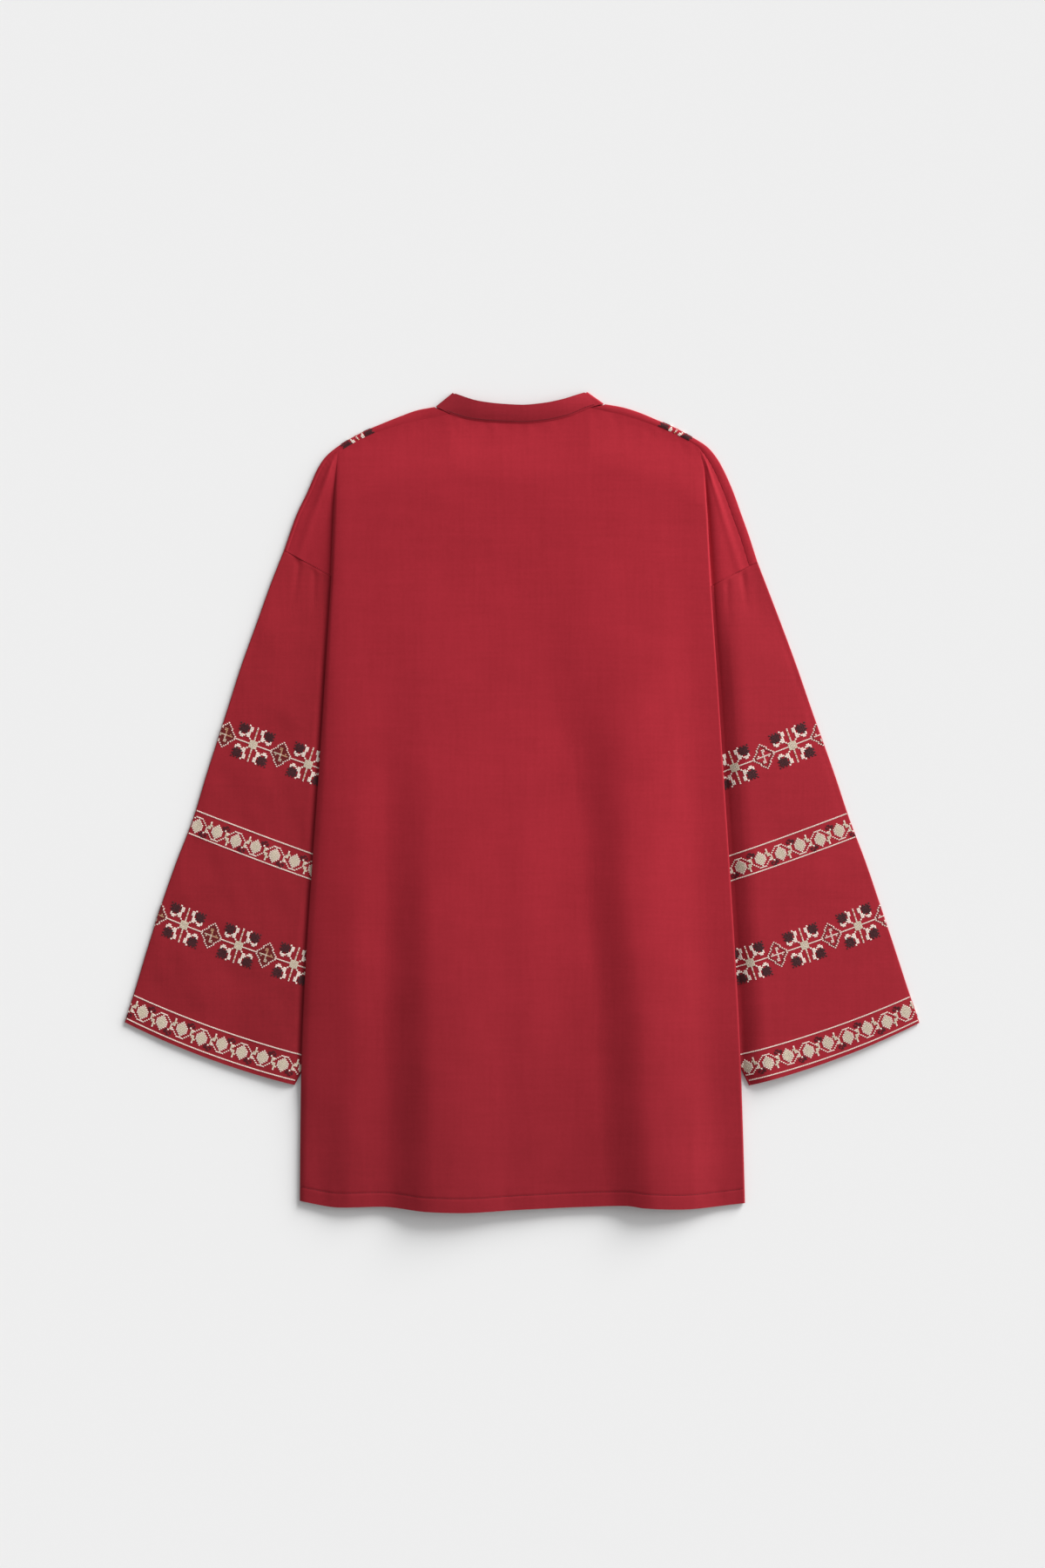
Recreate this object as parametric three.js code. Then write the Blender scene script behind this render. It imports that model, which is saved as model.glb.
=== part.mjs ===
// A loose long-sleeved kurti that lies face down on a flat surface, sleeves swung down beside the body.
// Millimetres. X runs across the garment, +Y towards the neck, Z up from the surface that it rests on.
// "left" and "right" are the wearer's, so the left side lies at -X. The distances across in the tables
// below are measured outwards from the centre line, on either side.

import * as THREE from 'three';

// ---- cloth -----------------------------------------------------------------------------------------

const CLOTH = 1.0;                      // thickness of the body and sleeve cloth
const BAND = 1.4;                       // thickness of the doubled collar band
const SEAM = 0.3;                       // gap between two sewn edges
const AIR = 0.4;                        // least clear space between two layers
const FIRST = CLOTH / 2;                // mid-height of a layer that lies on the surface
const RISE = CLOTH + AIR;               // from the middle of one layer to the middle of the next
const SECOND = FIRST + RISE;
const FOLD = RISE / 2;                  // radius of a folded edge, at the middle of the cloth
const OVER_SLEEVE = 2 * RISE;           // how far the front panel climbs to lie on a flat sleeve

const RED = 0xa02434;
const LEFT_RED = 0x8f1f2b;
const RIGHT_RED = 0xa92b38;
const CLOTH_ROUGHNESS = 0.7;

// ---- body ------------------------------------------------------------------------------------------

const NECK_BOTTOM = 305;                // Y of the front neckline at the centre
const SLIT_BOTTOM = 155;                // Y of the lower end of the centre front slit
const SLIT_HALF_GAP = 0.4;
const SHOULDER_ROWS = 6;                // rows of cloth from the neck and shoulder to the underarm
const BODY_ROW_STEP = 25;               // spacing of the rows below the underarm
const UNDERARM_CENTRE = 217.7;          // Y at the centre line of the row that passes the underarms

// Height of the middle of the back panel: at the shoulder seam, at the neck, in the middle of the back,
// and along the side, where it lies on the sleeve, and at the hem corner, where it doesn't.
const BACK_NECK = FIRST + BAND + AIR + 0.2;
const BACK_CENTRE = 5.2;
const BACK_SIDE = 5.8;
const BACK_HEM_CORNER = 4.2;
const BACK_RISE_LENGTH = 60;            // the back rises from its shoulder seam over this length
const SIDE_RISE_WIDTH = 52;             // and towards its side over this width
const SIDE_SEAM_RISE = 1.2;             // the back's lower edge lies this far above the front's
const OVER_FRONT_SPARE = 0.1;           // clear space between the two, beyond AIR
const HEM_CORNER_START = 20;            // the side is all the way down this far below CUFF_RAMP_FOOT

// The back turns down at its side in three steps: distance in from the edge, and drop as a share of the
// height left between the top of the side and its seam.
const SIDE_TURN = [
  { inset: 7, drop: 0 },
  { inset: 2.2, drop: 0.15 },
  { inset: 0.5, drop: 1 },
];
const STEP_SEAM_SHARE = 0.5;            // above the underarm the seam line is halfway down the step
const FLAP_PUFF = 0.9;

// Hem: distance from the centre line (left is negative) and Y of the edge.
const HEM = [
  { x: -221, y: -393.4 },
  { x: -179, y: -399.9 },
  { x: -140, y: -399.1 },
  { x: -92, y: -403.8 },
  { x: -60, y: -404.7 },
  { x: 0, y: -401.8 },
  { x: 60, y: -399.3 },
  { x: 103, y: -398.1 },
  { x: 122, y: -400.3 },
  { x: 156, y: -401.4 },
  { x: 222, y: -395.6 },
];

// Soft folds that run down the back: the line of the crest from its top to the hem, the width of its
// left flank at the top and at the hem, the width of its right flank, its height at the hem, and the
// length below its top over which it grows.
const BACK_FOLDS = [
  {
    crest: [{ x: -92, y: 205 }, { x: -87, y: -50 }, { x: -86, y: -405 }],
    leftTop: 50, left: 50, right: 120, height: 7.4, growth: 360,
  },
  {
    crest: [
      { x: 114, y: 350 }, { x: 112, y: 190 }, { x: 108, y: 60 }, { x: 107, y: -68 }, { x: 120, y: -197 },
      { x: 127, y: -326 }, { x: 132, y: -405 },
    ],
    leftTop: 150, left: 50, right: 84, height: 7.6, growth: 400,
  },
  {
    crest: [{ x: -165, y: 160 }, { x: -168, y: -405 }],
    leftTop: 50, left: 50, right: 34, height: 1.6, growth: 300,
  },
  {
    crest: [{ x: 6, y: 150 }, { x: 12, y: -405 }],
    leftTop: 34, left: 34, right: 44, height: 1.2, growth: 300,
  },
];
const FOLD_SHARE_AT_SIDE = 0.4;         // share of their height that the folds keep at the body's side

// The end of the drop shoulder, from the foot of the step at the body's side: least and most distance of
// the first two points, as millimetres and as a share of the width, and the shares of the other two.
const FLAP_FOOT = { distance: 1.2, share: 0.15, stepShare: 0.35 };
const FLAP_FLAT = { distance: 5, share: 0.45 };
const FLAP_CREST_SHARE = 0.7;
const FLAP_FULL_WIDTH = 30;             // a flap this wide has its full puff

// ---- collar ----------------------------------------------------------------------------------------

const COLLAR_FOLD = (BAND + AIR + 0.1) / 2;      // radius of the fold at each side of the neck
const COLLAR_FRONT = BAND / 2;                   // mid-height of the half that lies on the surface
const COLLAR_BACK = COLLAR_FRONT + 2 * COLLAR_FOLD;
const COLLAR_BACK_PUFF = 0.5;
const COLLAR_HEIGHT = 20;
const COLLAR_ROWS = 4;
const COLLAR_END_GAP = 0.6;                      // half the gap between its ends at the centre front

// Back half of the band: its seam and its free edge, from the left fold to the right fold.
const COLLAR_BACK_HALF = [
  { seamX: -85.0, seamY: 390.3, edgeX: -68.4, edgeY: 403.8 },
  { seamX: -71.0, seamY: 383.1, edgeX: -59.0, edgeY: 400.3 },
  { seamX: -50.3, seamY: 377.1, edgeX: -43.0, edgeY: 395.5 },
  { seamX: -23.7, seamY: 374.5, edgeX: -20.5, edgeY: 392.6 },
  { seamX: 0, seamY: 373.7, edgeX: 0, edgeY: 391.6 },
  { seamX: 21.9, seamY: 375.4, edgeX: 19.5, edgeY: 393.2 },
  { seamX: 43.4, seamY: 379.7, edgeX: 37.5, edgeY: 396.6 },
  { seamX: 67.5, seamY: 389.2, edgeX: 54.5, edgeY: 401.8 },
  { seamX: 80.4, seamY: 393.1, edgeX: 64.1, edgeY: 404.6 },
];

// ---- the two sides ---------------------------------------------------------------------------------
// shoulder: stations from the neck over the shoulder to the armhole. "out" and "y" are on the folded
// edge of the front panel, "seamOut" and "seamY" on the seam where it meets the back. SHOULDER_END is
// the station where the visible side of the body starts.
// bodySide: the side of the body, from the shoulder to the hem.
// sleeve: sections from the armhole to the cuff. "out" and "y" are on the outer fold, "in" is the inner
// fold, under the body, and each section falls towards the body at the slope in degrees.

const SHOULDER_END = 6;

const LEFT = {
  sign: -1,
  shoulder: [
    { out: 87.0, y: 389.4, seamOut: 71.3, seamY: 382.6 },
    { out: 102.8, y: 386.6, seamOut: 97.0, seamY: 377.5 },
    { out: 120.0, y: 380.6, seamOut: 115.5, seamY: 373.0 },
    { out: 137.2, y: 373.7, seamOut: 133.5, seamY: 368.1 },
    { out: 154.4, y: 366.4, seamOut: 151.0, seamY: 362.0 },
    { out: 171.6, y: 357.3, seamOut: 168.5, seamY: 354.0 },
    { out: 184.6, y: 348.8, seamOut: 182.0, seamY: 346.5 },
    { out: 194.5, y: 340.0, seamOut: 191.6, seamY: 338.0 },
    { out: 201.5, y: 329.5, seamOut: 198.5, seamY: 327.8 },
    { out: 212.0, y: 305.7, seamOut: 209.0, seamY: 304.3 },
    { out: 222.3, y: 284.2, seamOut: 219.3, seamY: 282.8 },
    { out: 230.1, y: 262.7, seamOut: 227.0, seamY: 261.2 },
    { out: 234.9, y: 248.6, seamOut: 231.8, seamY: 246.9 },
  ],
  underarm: { out: 188.5, y: 222.8 },
  bodySide: [
    { y: 348, out: 182.0 },
    { y: 310, out: 184.6 },
    { y: 223, out: 188.4 },
    { y: 95, out: 196.3 },
    { y: -291, out: 218.4 },
    { y: -410, out: 219.6 },
  ],
  sleeve: [
    { out: 234.9, y: 248.6, in: 188.5, slope: 29.1 },
    { out: 246.4, y: 219.7, in: 171.2, slope: 27.9 },
    { out: 261.9, y: 176.7, in: 160.0, slope: 26.0 },
    { out: 277.4, y: 133.7, in: 157.0, slope: 25.0 },
    { out: 291.1, y: 90.7, in: 156.0, slope: 24.0 },
    { out: 311.8, y: 26.2, in: 161.0, slope: 23.0 },
    { out: 324.9, y: -16.8, in: 167.0, slope: 22.0 },
    { out: 341.5, y: -59.8, in: 174.3, slope: 21.5 },
    { out: 356.5, y: -102.8, in: 184.0, slope: 21.0 },
    { out: 370.2, y: -145.8, in: 195.5, slope: 20.7 },
    { out: 383.1, y: -188.8, in: 211.0, slope: 20.5 },
    { out: 392.2, y: -217.4, in: 224.5, slope: 20.3 },
  ],
};

const RIGHT = {
  sign: 1,
  shoulder: [
    { out: 82.6, y: 392.0, seamOut: 67.8, seamY: 388.6 },
    { out: 98.0, y: 389.6, seamOut: 93.5, seamY: 383.0 },
    { out: 115.0, y: 384.5, seamOut: 111.0, seamY: 378.1 },
    { out: 132.0, y: 377.4, seamOut: 127.5, seamY: 372.4 },
    { out: 149.0, y: 370.2, seamOut: 145.0, seamY: 365.7 },
    { out: 166.0, y: 361.0, seamOut: 161.0, seamY: 358.0 },
    { out: 183.0, y: 350.0, seamOut: 175.0, seamY: 349.0 },
    { out: 192.2, y: 339.3, seamOut: 184.5, seamY: 337.0 },
    { out: 199.1, y: 327.2, seamOut: 191.5, seamY: 324.0 },
    { out: 208.6, y: 305.7, seamOut: 200.8, seamY: 302.2 },
    { out: 216.3, y: 284.2, seamOut: 208.6, seamY: 280.8 },
    { out: 224.0, y: 262.7, seamOut: 216.6, seamY: 259.0 },
    { out: 232.2, y: 237.1, seamOut: 224.6, seamY: 233.1 },
  ],
  underarm: { out: 186.5, y: 213.0 },
  bodySide: [
    { y: 348, out: 178.5 },
    { y: 310, out: 181.0 },
    { y: 213, out: 186.4 },
    { y: 95, out: 194.4 },
    { y: -291, out: 216.9 },
    { y: -410, out: 220.4 },
  ],
  sleeve: [
    { out: 232.2, y: 237.1, in: 186.5, slope: 27.8 },
    { out: 243.0, y: 209.0, in: 168.5, slope: 27.2 },
    { out: 256.0, y: 175.0, in: 160.5, slope: 26.0 },
    { out: 271.2, y: 133.7, in: 157.5, slope: 25.0 },
    { out: 286.0, y: 90.7, in: 156.0, slope: 24.0 },
    { out: 308.9, y: 26.2, in: 161.0, slope: 23.0 },
    { out: 323.2, y: -16.8, in: 167.0, slope: 22.0 },
    { out: 339.4, y: -59.8, in: 174.3, slope: 21.5 },
    { out: 354.0, y: -102.8, in: 184.0, slope: 21.0 },
    { out: 368.3, y: -145.8, in: 195.5, slope: 20.7 },
    { out: 382.3, y: -188.8, in: 211.0, slope: 20.5 },
    { out: 392.2, y: -218.0, in: 224.0, slope: 20.2 },
  ],
};

// ---- sleeves ---------------------------------------------------------------------------------------

const SLEEVE_SUBROWS = 2;               // rows of cloth from one section to the next
const SLEEVE_PUFF = 5;                  // how far the visible half stands above a flat sleeve
const SLEEVE_PUFF_START = 110;          // it fills out over this length below the armhole
const SLEEVE_CREST = 0.85;              // it climbs to this share of its visible width
const SLEEVE_TUCK = 0.24;               // and goes flat over this share beside the body
const SLEEVE_TUCK_CLEAR = 3;            // it is flat this far outside the body's side
const CUFF_BOW = 5;                     // how far the middle of the cuff hangs below its ends
const CUFF_BOW_GROWTH = 2.6;            // the power of the distance below the armhole that the bow grows by
const VISIBLE_PASSES = 4;               // steps that home in on the visible width of a section
const SLEEVE_TOP_SHARES = [1, 0.88, 0.76, 0.6, 0.44, 0.28, 0.16, 0.08];      // of its visible width
const SLEEVE_BOTTOM_SHARES = [0.3, 0.7];
const FOLD_ANGLES = [0, 45, 90, 135, 180];       // from the lower layer round to the upper one

// The front panel climbs onto the hidden part of the sleeve between these distances inside its fold.
const RAMP_FOOT = 24;
const RAMP_TOP = 2;
const FRONT_RAMP_INSETS = [16, 9];
const FRONT_FLAT_COLUMNS = 9;
const NECK_COLUMNS = FRONT_FLAT_COLUMNS + FRONT_RAMP_INSETS.length + 2 - SHOULDER_END;
const FLAP_SHARES = [1 / 3, 2 / 3, 1];  // columns of the front under the end of the drop shoulder
const FRONT_SIDE_INSET = 1.0;           // the front's edge lies this far inside the body's side
const CORNER_ROW = 10;                  // below the underarm the front's edge first keeps beside the sleeve
const CORNER_CLEAR = 1.1;
const CUFF_RAMP_TOP = -268;             // the front comes down to the surface below the cuff, between
const CUFF_RAMP_FOOT = -304;            // these two Y

// ---- general helpers -------------------------------------------------------------------------------

const clamp01 = (t) => Math.min(Math.max(t, 0), 1);
const mix = (a, b, t) => a + (b - a) * t;

function smooth(t) {
  const s = clamp01(t);
  return s * s * (3 - 2 * s);
}

// Value of one column of a table where another column reaches "at", in straight steps between rows.
function lookUp(table, column, at, value) {
  const rising = table[table.length - 1][column] > table[0][column];
  const row = (i) => table[rising ? i : table.length - 1 - i];
  let i = 0;
  while (i < table.length - 2 && row(i + 1)[column] < at) i += 1;
  const t = clamp01((at - row(i)[column]) / (row(i + 1)[column] - row(i)[column]));
  return mix(row(i)[value], row(i + 1)[value], t);
}

function mixPoints(a, b, t) {
  return new THREE.Vector3().lerpVectors(a, b, t);
}

// A closed wall of cloth from patches of its middle surface. A patch is a list of rows of points, or
// of null where there is no cloth. Points that fall together are one point, so patches that share an
// edge join along it. "flip" turns a patch over so that all of a piece's patches face the same way.
function clothWall(patches, thickness) {
  const points = [];
  const found = new Map();
  const indexOf = (point) => {
    const key = point.toArray().map((v) => Math.round(v * 1000)).join(',');
    if (!found.has(key)) {
      found.set(key, points.length);
      points.push(point);
    }
    return found.get(key);
  };

  const triangles = [];
  const addTriangle = (a, b, c) => {
    if (a !== b && b !== c && c !== a) triangles.push([a, b, c]);
  };
  for (const { rows, flip } of patches) {
    for (let i = 0; i + 1 < rows.length; i += 1) {
      for (let j = 0; j + 1 < Math.min(rows[i].length, rows[i + 1].length); j += 1) {
        const corners = [rows[i][j], rows[i + 1][j], rows[i + 1][j + 1], rows[i][j + 1]];
        if (flip) corners.reverse();
        const [a, b, c, d] = corners.map(indexOf);
        if (points[a].distanceTo(points[c]) <= points[b].distanceTo(points[d])) {
          addTriangle(a, b, c);
          addTriangle(a, c, d);
        } else {
          addTriangle(a, b, d);
          addTriangle(b, c, d);
        }
      }
    }
  }

  const normals = points.map(() => new THREE.Vector3());
  for (const [a, b, c] of triangles) {
    const ab = new THREE.Vector3().subVectors(points[b], points[a]);
    const ac = new THREE.Vector3().subVectors(points[c], points[a]);
    const faceNormal = ab.cross(ac);
    for (const i of [a, b, c]) normals[i].add(faceNormal);
  }

  const vertices = [];
  for (const side of [0.5, -0.5]) {
    points.forEach((point, i) => {
      const moved = normals[i].clone().normalize().multiplyScalar(side * thickness).add(point);
      vertices.push(...moved.toArray());
    });
  }

  const under = points.length;
  const edges = new Set(triangles.flatMap(([a, b, c]) => [`${a},${b}`, `${b},${c}`, `${c},${a}`]));
  const index = [];
  for (const [a, b, c] of triangles) {
    index.push(a, b, c, under + a, under + c, under + b);
    for (const [from, to] of [[a, b], [b, c], [c, a]]) {
      if (!edges.has(`${to},${from}`)) {
        index.push(to, from, under + from, to, under + from, under + to);
      }
    }
  }

  const geometry = new THREE.BufferGeometry();
  geometry.setAttribute('position', new THREE.Float32BufferAttribute(vertices, 3));
  geometry.setIndex(index);
  return geometry;
}

function clothPiece(name, color, patches, thickness = CLOTH) {
  const material = new THREE.MeshStandardMaterial({ color, roughness: CLOTH_ROUGHNESS, metalness: 0 });
  const geometry = clothWall(patches, thickness);
  geometry.computeVertexNormals();
  const mesh = new THREE.Mesh(geometry, material);
  mesh.name = name;
  return mesh;
}

// ---- where the pieces lie --------------------------------------------------------------------------

const at = (side, out, y, z) => new THREE.Vector3(side.sign * out, y, z);
const bodyOut = (side, y) => lookUp(side.bodySide, 'y', y, 'out');
const hemY = (side, out) => lookUp(HEM, 'x', side.sign * out, 'y');

// Y of a sleeve section at the inner fold.
function innerY(section) {
  return section.y - (section.out - section.in) * Math.tan(THREE.MathUtils.degToRad(section.slope));
}

// Distance from the centre line to the sleeve's inner fold, under the body.
function sleeveInner(side, y) {
  const fold = side.sleeve.map((section) => ({ y: innerY(section), in: section.in }));
  return lookUp(fold, 'y', y, 'in');
}

// How much of its climb onto the sleeve the front panel has made.
function frontRamp(side, out, y) {
  if (y >= side.underarm.y) return 0;
  const across = smooth((out - sleeveInner(side, y) + RAMP_FOOT) / (RAMP_FOOT - RAMP_TOP));
  const nearUnderarm = smooth((side.underarm.y - y) / CORNER_ROW);
  const nearCuff = smooth((y - CUFF_RAMP_FOOT) / (CUFF_RAMP_TOP - CUFF_RAMP_FOOT));
  return across * nearUnderarm * nearCuff;
}

const frontHeight = (side, out, y) => FIRST + OVER_SLEEVE * frontRamp(side, out, y);

// Row line that passes the underarms.
function underarmY(side, out) {
  return mix(UNDERARM_CENTRE, side.underarm.y, out / side.underarm.out);
}

// Y of a body row, the share of the way from the underarm row to the hem.
const bodyRowY = (side, out, share) => mix(underarmY(side, out), hemY(side, out), share);

function bodyRowShares() {
  const length = UNDERARM_CENTRE - hemY(RIGHT, 0);
  const count = Math.round(length / BODY_ROW_STEP);
  const shares = [CORNER_ROW / length];
  for (let i = 1; i <= count; i += 1) shares.push(i / count);
  return shares;
}

// ---- front panel -----------------------------------------------------------------------------------

// Points across the folded edge at a shoulder station, from the layer on the surface up and over to
// the seam, which is higher at the neck, over the collar.
function shoulderTurn(side, { out, y, seamOut, seamY }, isNeck) {
  const radius = isNeck ? (BACK_NECK - FIRST) / 2 : FOLD;
  const edge = new THREE.Vector2(out, y);
  const inwards = new THREE.Vector2(seamOut, seamY).sub(edge);
  const width = inwards.length();
  inwards.normalize();
  const place = (distance, z) => {
    const p = edge.clone().addScaledVector(inwards, distance);
    return at(side, p.x, p.y, z);
  };
  const turn = FOLD_ANGLES.map((degrees) => {
    const angle = THREE.MathUtils.degToRad(degrees);
    return place(CLOTH / 2 + radius * (1 - Math.sin(angle)), FIRST + radius * (1 - Math.cos(angle)));
  });
  return [...turn, place(width - SEAM / 2, FIRST + 2 * radius)];
}

// Columns of the front at a row below the underarm, as distances from the centre line.
function frontColumns(side, y, inCorner) {
  const fold = Math.min(sleeveInner(side, y), bodyOut(side, y) - FRONT_SIDE_INSET);
  const flatEnd = fold - RAMP_FOOT;
  const columns = [];
  for (let j = 0; j <= FRONT_FLAT_COLUMNS; j += 1) columns.push(flatEnd * j / FRONT_FLAT_COLUMNS);
  columns.push(...FRONT_RAMP_INSETS.map((inset) => fold - inset), fold - RAMP_TOP);
  columns.push(inCorner ? fold - CORNER_CLEAR : bodyOut(side, y) - FRONT_SIDE_INSET);
  return columns;
}

function frontHalf(side) {
  const turns = side.shoulder.map((station, k) => shoulderTurn(side, station, k === 0));
  const neckSide = turns[0][0];

  // Neckline and shoulder: the top row.
  const top = [];
  for (let j = 0; j < NECK_COLUMNS; j += 1) {
    const angle = (Math.PI / 2) * (j / NECK_COLUMNS);
    const out = Math.abs(neckSide.x) * Math.sin(angle);
    const y = neckSide.y - (neckSide.y - NECK_BOTTOM) * Math.cos(angle);
    top.push(at(side, Math.max(out, SLIT_HALF_GAP), y, FIRST));
  }
  for (let k = 0; k <= SHOULDER_END; k += 1) top.push(turns[k][0]);

  const rowBelow = (share, inCorner) => {
    const lineY = bodyRowY(side, side.underarm.out, share);
    const slitOut = bodyRowY(side, 0, share) > SLIT_BOTTOM ? SLIT_HALF_GAP : 0;
    return frontColumns(side, lineY, inCorner).map((column) => {
      const out = Math.max(column, slitOut);
      const y = bodyRowY(side, out, share);
      return at(side, out, y, frontHeight(side, out, y));
    });
  };

  const underarmRow = rowBelow(0, true);
  const rows = [];
  for (let i = 0; i <= SHOULDER_ROWS; i += 1) {
    const body = top.map((point, j) => mixPoints(point, underarmRow[j], i / SHOULDER_ROWS));
    const bodyEdge = body[body.length - 1];
    const flapEdge = turns[SHOULDER_END + i][0];
    for (const share of FLAP_SHARES) body.push(mixPoints(bodyEdge, flapEdge, share));
    rows.push(body);
  }
  bodyRowShares().forEach((share, i) => rows.push(rowBelow(share, i === 0)));

  const flip = side.sign < 0;
  return [{ rows, flip }, { rows: turns, flip }];
}

// ---- back panel ------------------------------------------------------------------------------------

// Y of the back's upper edge: neckline, then shoulder seam.
function backTopY(side, out) {
  const shoulder = side.shoulder.slice(0, SHOULDER_END + 1);
  if (out > shoulder[0].seamOut - SEAM) return lookUp(shoulder, 'seamOut', out, 'seamY') - SEAM;
  return lookUp(COLLAR_BACK_HALF, 'seamX', side.sign * out, 'seamY') - SEAM;
}

function foldHeight(x, y) {
  let height = 0;
  for (const fold of BACK_FOLDS) {
    const offset = x - lookUp(fold.crest, 'y', y, 'x');
    const grown = smooth((fold.crest[0].y - y) / fold.growth);
    const flank = offset < 0 ? mix(fold.leftTop, fold.left, grown) : fold.right;
    const across = clamp01(Math.abs(offset) / flank);
    height += fold.height * grown * (1 + Math.cos(across * Math.PI)) / 2;
  }
  return height;
}

function backHeight(side, out, y) {
  const [neck, next] = side.shoulder;
  const besideNeck = clamp01((out - neck.seamOut) / (next.seamOut - neck.seamOut));
  const seamHeight = mix(BACK_NECK, SECOND, besideNeck);
  const lowest = CUFF_RAMP_FOOT - HEM_CORNER_START;
  const sideHeight = mix(BACK_HEM_CORNER, BACK_SIDE, smooth((y - lowest) / (CUFF_RAMP_TOP - lowest)));
  const inSide = out - bodyOut(side, y) + SIDE_RISE_WIDTH;
  const towardsSide = smooth(inSide / (SIDE_RISE_WIDTH - SIDE_TURN[0].inset));
  const folds = foldHeight(side.sign * out, y) * mix(1, FOLD_SHARE_AT_SIDE, towardsSide);
  const full = mix(BACK_CENTRE, sideHeight, towardsSide) + folds;
  const risen = smooth((backTopY(side, out) - y) / BACK_RISE_LENGTH);
  const onFront = frontHeight(side, out, y) + RISE + OVER_FRONT_SPARE;
  return Math.max(mix(seamHeight, full, risen), onFront);
}

function backHalf(side) {
  const shoulder = side.shoulder.slice(0, SHOULDER_END + 1).map((station) => station.seamOut);
  const shoulderOut = shoulder[SHOULDER_END];
  const neck = COLLAR_BACK_HALF.map(({ seamX }) => side.sign * seamX)
    .filter((out) => out >= 0 && out < shoulder[0] - 1)
    .sort((a, b) => a - b);
  const stations = [...neck, ...shoulder];
  const columns = [];
  stations.slice(0, -1).forEach((out, i) => {
    columns.push({ share: out / shoulderOut, inset: 0 });
    columns.push({ share: (out + stations[i + 1]) / 2 / shoulderOut, inset: 0 });
  });
  columns.pop();
  for (const { inset } of SIDE_TURN) columns.push({ share: 1, inset });

  const lastColumn = columns.length - 1;
  const topOf = (out) => backTopY(side, Math.min(out, shoulderOut));

  const bodyPoint = (column, j, sideOut, yOf, seamHeightOf) => {
    const out = Math.max(sideOut * column.share - column.inset, 0);
    const y = yOf(out);
    const height = backHeight(side, out, y);
    const turn = SIDE_TURN[j - lastColumn + SIDE_TURN.length - 1];
    const z = turn ? mix(height, seamHeightOf(out, y, height), turn.drop) : height;
    return at(side, out, y, z);
  };

  const rows = [];
  for (let i = 0; i <= SHOULDER_ROWS; i += 1) {
    const down = i / SHOULDER_ROWS;
    const besideBody = bodyOut(side, mix(topOf(shoulderOut), side.underarm.y, down));
    const sideOut = i === 0 ? shoulderOut : besideBody;
    const yOf = (out) => mix(topOf(out * shoulderOut / sideOut), underarmY(side, out), down);
    const onStep = (out, y, height) => mix(height, SECOND, STEP_SEAM_SHARE);
    const row = columns.map((column, j) => {
      const collapse = i === 0 && j === lastColumn ? { share: 1, inset: 0 } : column;
      return bodyPoint(collapse, j, sideOut, yOf, onStep);
    });
    row.push(...flapPoints(side, row[lastColumn], i));
    rows.push(row);
  }

  const aboveFront = (out, y) => frontHeight(side, out, y) + SIDE_SEAM_RISE;
  for (const share of bodyRowShares()) {
    const sideOut = bodyOut(side, bodyRowY(side, side.underarm.out, share));
    const yOf = (out) => bodyRowY(side, out, share);
    rows.push(columns.map((column, j) => bodyPoint(column, j, sideOut, yOf, aboveFront)));
  }
  return [{ rows, flip: side.sign < 0 }];
}

// The end of the drop shoulder, from the foot of the step at the body's side out to the shoulder seam.
function flapPoints(side, stepPoint, i) {
  const station = side.shoulder[SHOULDER_END + i];
  const edge = at(side, station.seamOut, station.seamY, SECOND);
  const foot = stepPoint.clone().setZ(SECOND);
  const inwards = foot.clone().sub(edge).normalize();
  const width = foot.distanceTo(edge);
  edge.addScaledVector(inwards, width > SEAM ? SEAM : 0);
  const puff = FLAP_PUFF * clamp01(width / FLAP_FULL_WIDTH) * (1 - (i / SHOULDER_ROWS) ** 2);
  const shareOf = ({ distance, share }) => Math.min(distance / Math.max(width, 1), share);
  return [
    { share: shareOf(FLAP_FOOT), rise: FLAP_FOOT.stepShare * (stepPoint.z - SECOND) },
    { share: shareOf(FLAP_FLAT), rise: 0 },
    { share: FLAP_CREST_SHARE, rise: puff },
    { share: 1, rise: 0 },
  ].map(({ share, rise }) => mixPoints(foot, edge, share).setZ(SECOND + rise));
}

// ---- sleeve ----------------------------------------------------------------------------------------

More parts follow.
